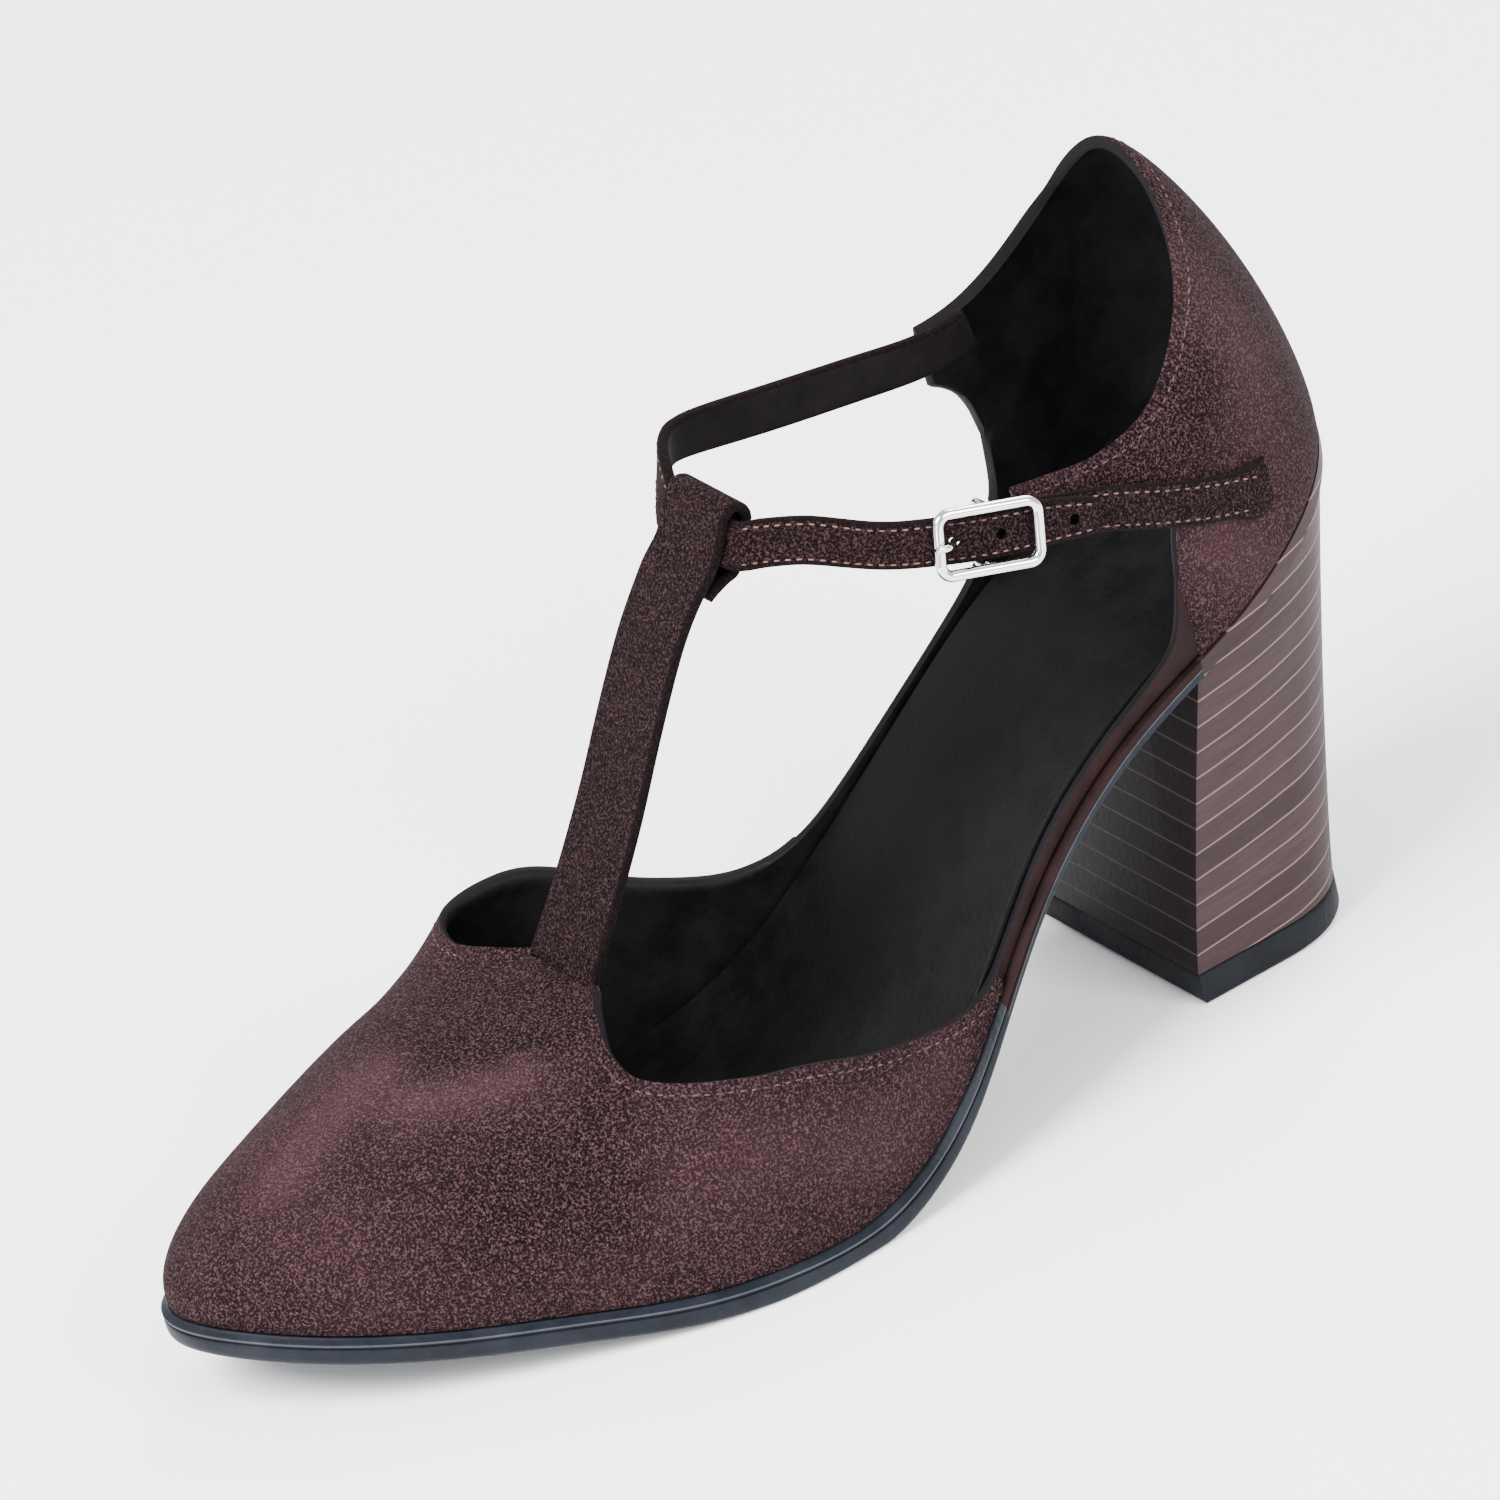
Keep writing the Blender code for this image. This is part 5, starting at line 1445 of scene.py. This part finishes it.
def place_camera(fill):
    """One camera at the photograph's place, aimed at the shoe and zoomed until the shoe fills its share."""
    place, right, up, back = camera_axes()
    place = place + SHIFT
    points = shoe_points()
    aim = (points.min(axis=0) + points.max(axis=0)) / 2
    for _ in range(6):
        back = unit(place - aim)
        side = unit(np.cross(up, back))
        above = np.cross(back, side)
        away = points - place
        depth = -(away @ back)
        across = (away @ side) / depth
        height = (away @ above) / depth
        middle = ((across.max() + across.min()) / 2, (height.max() + height.min()) / 2)
        aim = aim + (side * middle[0] + above * middle[1]) * np.linalg.norm(place - aim)
    half = max(across.max() - across.min(), height.max() - height.min()) / 2
    data = bpy.data.cameras.new("camera")
    data.sensor_width = SENSOR
    data.lens = SENSOR / 2 * fill / half
    data.clip_start = 0.05
    data.clip_end = 50.0
    camera = bpy.data.objects.new("camera", data)
    camera.matrix_world = Matrix([
        (side[0], above[0], back[0], place[0]),
        (side[1], above[1], back[1], place[1]),
        (side[2], above[2], back[2], place[2]),
        (0.0, 0.0, 0.0, 1.0),
    ])
    bpy.context.scene.collection.objects.link(camera)
    bpy.context.scene.camera = camera


# A soft square light: its place, side and power, and its green and blue over its red.
Lamp = namedtuple("Lamp", "name x y z size watts warmth")
LAMPS = (
    Lamp("key", 0.2, -1.5, 2.0, 1.3, 190.0, 0.99),
    Lamp("side", 1.9, 0.5, 1.3, 1.2, 80.0, 1.0),
    Lamp("rear", -0.8, 1.5, 1.6, 1.4, 55.0, 1.0),
    Lamp("front", 1.0, -1.8, 0.6, 0.9, 20.0, 1.0),
)


def add_lamp(lamp):
    """A square soft light that looks at the shoe."""
    data = bpy.data.lights.new(lamp.name, "AREA")
    data.shape = "SQUARE"
    data.size = lamp.size
    data.energy = lamp.watts
    data.color = (1.0, lamp.warmth, lamp.warmth)
    item = bpy.data.objects.new(lamp.name, data)
    item.location = (lamp.x, lamp.y, lamp.z)
    toward = Vector((0.0, 0.0, 0.05)) - item.location
    item.rotation_mode = "QUATERNION"
    item.rotation_quaternion = toward.to_track_quat("-Z", "Y")
    bpy.context.scene.collection.objects.link(item)


def colour_property(name, description, default):
    """A colour that a user can change."""
    return bpy.props.FloatVectorProperty(
        name=name, description=description, default=default, min=0.0, max=1.0, size=3, subtype="COLOR")


class ShoeSettings(bpy.types.PropertyGroup):
    """What can be changed before the pieces are built."""

    crease_depth: bpy.props.FloatProperty(
        name="Crease depth", description="Depth of the upper's worn creases over their drawn depth",
        default=1.0, min=0.0, max=2.0)
    stitch_pitch: bpy.props.FloatProperty(
        name="Stitch pitch", description="Distance from one stitch to the next",
        default=0.00178, min=0.0008, max=0.005, subtype="DISTANCE", unit="LENGTH")
    stitch_length: bpy.props.FloatProperty(
        name="Stitch length", description="Length of the thread that shows in one stitch",
        default=0.00100, min=0.0004, max=0.004, subtype="DISTANCE", unit="LENGTH")
    thread_radius: bpy.props.FloatProperty(
        name="Thread radius", description="Half the thickness of the thread",
        default=0.00015, min=0.00005, max=0.001, subtype="DISTANCE", unit="LENGTH")
    frame_share: bpy.props.FloatProperty(
        name="Share of the frame", description="How much of the picture's side the shoe fills",
        default=FILL, min=0.2, max=1.0, subtype="FACTOR")
    suede_base: colour_property("Suede", "Colour of the suede's nap in shade", (0.0033, 0.0013, 0.0017))
    # The patches' lighter colour, which also paints the highlights on the vamp.
    suede_patch: colour_property("Brushed suede", "Colour of brushed nap", (0.0225, 0.0112, 0.0124))
    suede_fleck: colour_property("Suede flecks", "Colour of the nap's light tips", (0.122, 0.064, 0.070))
    stack_dark: colour_property("Dark layers", "The heel's dark layers", (0.027, 0.0155, 0.0165))
    stack_light: colour_property("Light layers", "The heel's light layers", (0.048, 0.0290, 0.0305))
    thread_colour: colour_property("Thread", "Colour of the thread on the straps", (0.080, 0.045, 0.037))


class SHOE_OT_upper(bpy.types.Operator):
    """Build the suede upper with its lining"""

    bl_idname = "shoe.upper"
    bl_label = "Upper"

    def execute(self, context):
        make_looks(context.scene.shoe_settings)
        looks = [LOOKS["suede"], LOOKS["lining"], LOOKS["edge"], LOOKS["band"]]
        depth = context.scene.shoe_settings.crease_depth
        item = build_upper(depth, looks)
        finish_piece(item, ("upper",))
        return {"FINISHED"}


class SHOE_OT_bottom(bpy.types.Operator):
    """Build the outsole and the insole with its sock lining"""

    bl_idname = "shoe.bottom"
    bl_label = "Soles"

    def execute(self, context):
        make_looks(context.scene.shoe_settings)
        looks = [LOOKS["sole"], LOOKS["line"], LOOKS["stack"], LOOKS["band"]]
        finish_piece(build_outsole(looks), ("outsole",))
        finish_piece(build_insole(LOOKS["sock"]), ("insole",))
        return {"FINISHED"}


class SHOE_OT_heel(bpy.types.Operator):
    """Build the stacked heel and its top piece"""

    bl_idname = "shoe.heel"
    bl_label = "Heel"

    def execute(self, context):
        make_looks(context.scene.shoe_settings)
        looks = [LOOKS["stack"], LOOKS["breast"], LOOKS["corner"]]
        finish_piece(build_heel(looks), ("heel_block",))
        finish_piece(build_top_piece(LOOKS["rubber"]), ("top_piece",))
        return {"FINISHED"}


class SHOE_OT_straps(bpy.types.Operator):
    """Build the T strap, the ankle strap with its holes, and the buckle strap"""

    bl_idname = "shoe.straps"
    bl_label = "Straps"

    def execute(self, context):
        make_looks(context.scene.shoe_settings)
        looks = [LOOKS["strap"], LOOKS["edge"], LOOKS["raw"]]
        stations = refine(t_strap_stations(), 5)
        strap = build_ribbon("t_strap_leather", stations, T_STRAP_THICK, looks, t_strap_lift)
        finish_piece(strap, ("t_strap",))
        stations = refine(ankle_strap_stations(), 4)
        ankle = build_ribbon("ankle_strap_leather", stations, ANKLE_STRAP_THICK, looks)
        round_bar, path = prong_room(LOOKS["edge"])
        bpy.data.objects.remove(round_bar, do_unlink=True)
        tools = [path]
        for number in range(1, HOLES + 1):
            forward = HOLE_FIRST - HOLE_PITCH * number
            ends = [(forward, 0.0, out) for out in HOLE_ENDS]
            tools.append(wire_object("hole", at_buckle(ends), HOLE_RADIUS, [LOOKS["edge"]], False, 18))
        finish_piece(combine(ankle, tools, "DIFFERENCE"), ("ankle_strap",))
        stations = refine(buckle_strap_stations(), 4)
        tab = build_ribbon("buckle_strap_leather", stations, TAB_THICK, looks, None, TAB_SLANT)
        round_bar, path = prong_room(LOOKS["edge"])
        bpy.data.objects.remove(path, do_unlink=True)
        finish_piece(combine(tab, [round_bar], "DIFFERENCE"), ("buckle_strap",))
        return {"FINISHED"}


# Soft cross folds of the T strap: place and half width over its length, and height.
STRAP_FOLDS = ((0.30, 0.030, -0.00022), (0.40, 0.025, 0.00020), (0.47, 0.020, -0.00025))


def t_strap_lift(share, wide):
    """How far the cross folds lift or sink a place of the T strap, a little slanted over its width."""
    along = share - 0.03 * wide
    return sum(height * math.exp(-((along - place) / size) ** 2) for place, size, height in STRAP_FOLDS)


class SHOE_OT_buckle(bpy.types.Operator):
    """Build the nickel buckle and its prong"""

    bl_idname = "shoe.buckle"
    bl_label = "Buckle"

    def execute(self, context):
        make_looks(context.scene.shoe_settings)
        finish_piece(build_frame(LOOKS["nickel"]), ("buckle_frame",))
        finish_piece(build_prong(LOOKS["nickel"]), ("buckle_prong",))
        return {"FINISHED"}


# Where the stitches of the buckle strap start on its upper and lower edge and where they end, in stations.
TAB_ROW_STARTS = {1: 4, -1: 16}
TAB_ROW_END = 66
# How far the stitches lie inside the collar, the wings and the vamp's edge.
COLLAR_INSET = 0.0026
WING_INSET = 0.0018
VAMP_INSET = 0.0019
# The turns between the collar's last stitch and a wing's tip, and the turns of the vamp's row.
TIP_GAP = 0.12
VAMP_ROW_TURNS = (5.75, 9.30)
# Half the stretch of the ankle strap that the T strap's fold hides.
FOLD_REACH = 0.0098


def ankle_strap_runs():
    """The ankle strap's stations on both sides of the T strap's fold."""
    stations = refine(ankle_strap_stations(), 4)[3:-2]
    seen = [s for s in stations if abs(s.centre[0] - FRONT_TOP[0]) > FOLD_REACH or s.centre[1] > -0.09]
    gaps = [np.linalg.norm(after.centre - here.centre) for here, after in zip(seen[:-1], seen[1:])]
    split = int(np.argmax(gaps)) + 1
    return seen[:split], seen[split:]


class SHOE_OT_stitches(bpy.types.Operator):
    """Sew the rows of stitches along the straps, the collar, the cut-outs and the vamp"""

    bl_idname = "shoe.stitches"
    bl_label = "Stitches"

    def execute(self, context):
        make_looks(context.scene.shoe_settings)
        settings = context.scene.shoe_settings
        depth = settings.crease_depth

        def sew(name, rows, look):
            parts = [even_places(points, normals, settings.stitch_pitch) for points, normals in rows]
            places, tangents, ups = (np.concatenate([part[n] for part in parts]) for n in range(3))
            item = capsules(
                name, places, tangents, ups, settings.stitch_length, settings.thread_radius, LOOKS[look])
            finish_piece(item)

        before, behind = ankle_strap_runs()
        rows = [strap_row(run, ANKLE_STRAP_THICK, side) for run in (before, behind) for side in (1, -1)]
        sew("ankle_strap_stitches", rows, "thread")
        tab = refine(buckle_strap_stations(), 4)[:TAB_ROW_END]
        rows = [strap_row(tab[TAB_ROW_STARTS[side]:], TAB_THICK, side) for side in (1, -1)]
        sew("buckle_strap_stitches", rows, "thread")
        turns = np.concatenate([
            np.linspace(WING_TIPS[0] - TIP_GAP, 0.0, 60), np.linspace(-0.05, TIP_GAP - WING_TIPS[1], 52)])
        rows = [edge_row(turns, np.full(len(turns), 0.985), COLLAR_INSET, -1, depth)]
        for side in (1, -1):
            curve = WING_CURVES[side][1:-2]
            turns = np.array([signed(turn, side) for turn in curve[:, 0]])
            rows.append(edge_row(turns, curve[:, 1], WING_INSET, -side, depth))
        sew("collar_stitches", rows, "dark_thread")
        rows = []
        for side in (1, -1):
            span = np.linspace(*VAMP_ROW_TURNS, 70)
            climbs = np.array([top_climb(turn, side) for turn in span])
            turns = np.array([signed(turn, side) for turn in span])
            rows.append(edge_row(turns, climbs, VAMP_INSET, side, depth))
        sew("vamp_stitches", rows, "dark_thread")
        return {"FINISHED"}


class SHOE_OT_stage(bpy.types.Operator):
    """Set the floor, the soft lights and the camera"""

    bl_idname = "shoe.stage"
    bl_label = "Stage"

    def execute(self, context):
        settings = context.scene.shoe_settings
        mesh = bpy.data.meshes.new("floor")
        corners = [(FLOOR_REACH * x, FLOOR_REACH * y, 0.0) for x, y in ((-1, -1), (1, -1), (1, 1), (-1, 1))]
        mesh.from_pydata(corners, [], [(0, 1, 2, 3)])
        mesh.materials.append(make_floor_look())
        floor = bpy.data.objects.new("floor", mesh)
        context.scene.collection.objects.link(floor)
        floor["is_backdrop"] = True
        world = bpy.data.worlds.new("studio")
        world.use_nodes = True
        background = world.node_tree.nodes["Background"]
        background.inputs["Color"].default_value = AIR_COLOUR
        background.inputs["Strength"].default_value = AIR_STRENGTH
        context.scene.world = world
        for lamp in LAMPS:
            add_lamp(lamp)
        place_camera(settings.frame_share)
        return {"FINISHED"}


class SHOE_PT_panel(bpy.types.Panel):
    """The shoe's settings and build steps"""

    bl_idname = "SHOE_PT_panel"
    bl_label = "Shoe"
    bl_space_type = "VIEW_3D"
    bl_region_type = "UI"
    bl_category = "Shoe"

    def draw(self, context):
        settings = context.scene.shoe_settings
        for name in SETTING_NAMES:
            self.layout.prop(settings, name)
        for step in STEPS:
            self.layout.operator(step.bl_idname)


SETTING_NAMES = tuple(ShoeSettings.__annotations__)
STEPS = (
    SHOE_OT_upper, SHOE_OT_bottom, SHOE_OT_heel, SHOE_OT_straps, SHOE_OT_buckle, SHOE_OT_stitches,
    SHOE_OT_stage,
)


def register():
    """Makes the settings, the operators and the panel known to Blender."""
    bpy.utils.register_class(ShoeSettings)
    for step in STEPS:
        bpy.utils.register_class(step)
    bpy.utils.register_class(SHOE_PT_panel)
    bpy.types.Scene.shoe_settings = bpy.props.PointerProperty(type=ShoeSettings)


def unregister():
    """Takes them out again."""
    del bpy.types.Scene.shoe_settings
    bpy.utils.unregister_class(SHOE_PT_panel)
    for step in reversed(STEPS):
        bpy.utils.unregister_class(step)
    bpy.utils.unregister_class(ShoeSettings)


def main():
    """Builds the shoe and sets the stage."""
    register()
    bpy.ops.shoe.upper()
    bpy.ops.shoe.bottom()
    bpy.ops.shoe.heel()
    bpy.ops.shoe.straps()
    bpy.ops.shoe.buckle()
    bpy.ops.shoe.stitches()
    bpy.ops.shoe.stage()
    both = {"cad": CAD_BOUNDS, "visual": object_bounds()}
    boxes = {name: [list(corner) for corner in box] for name, box in both.items()}


if __name__ == "__main__":
    main()
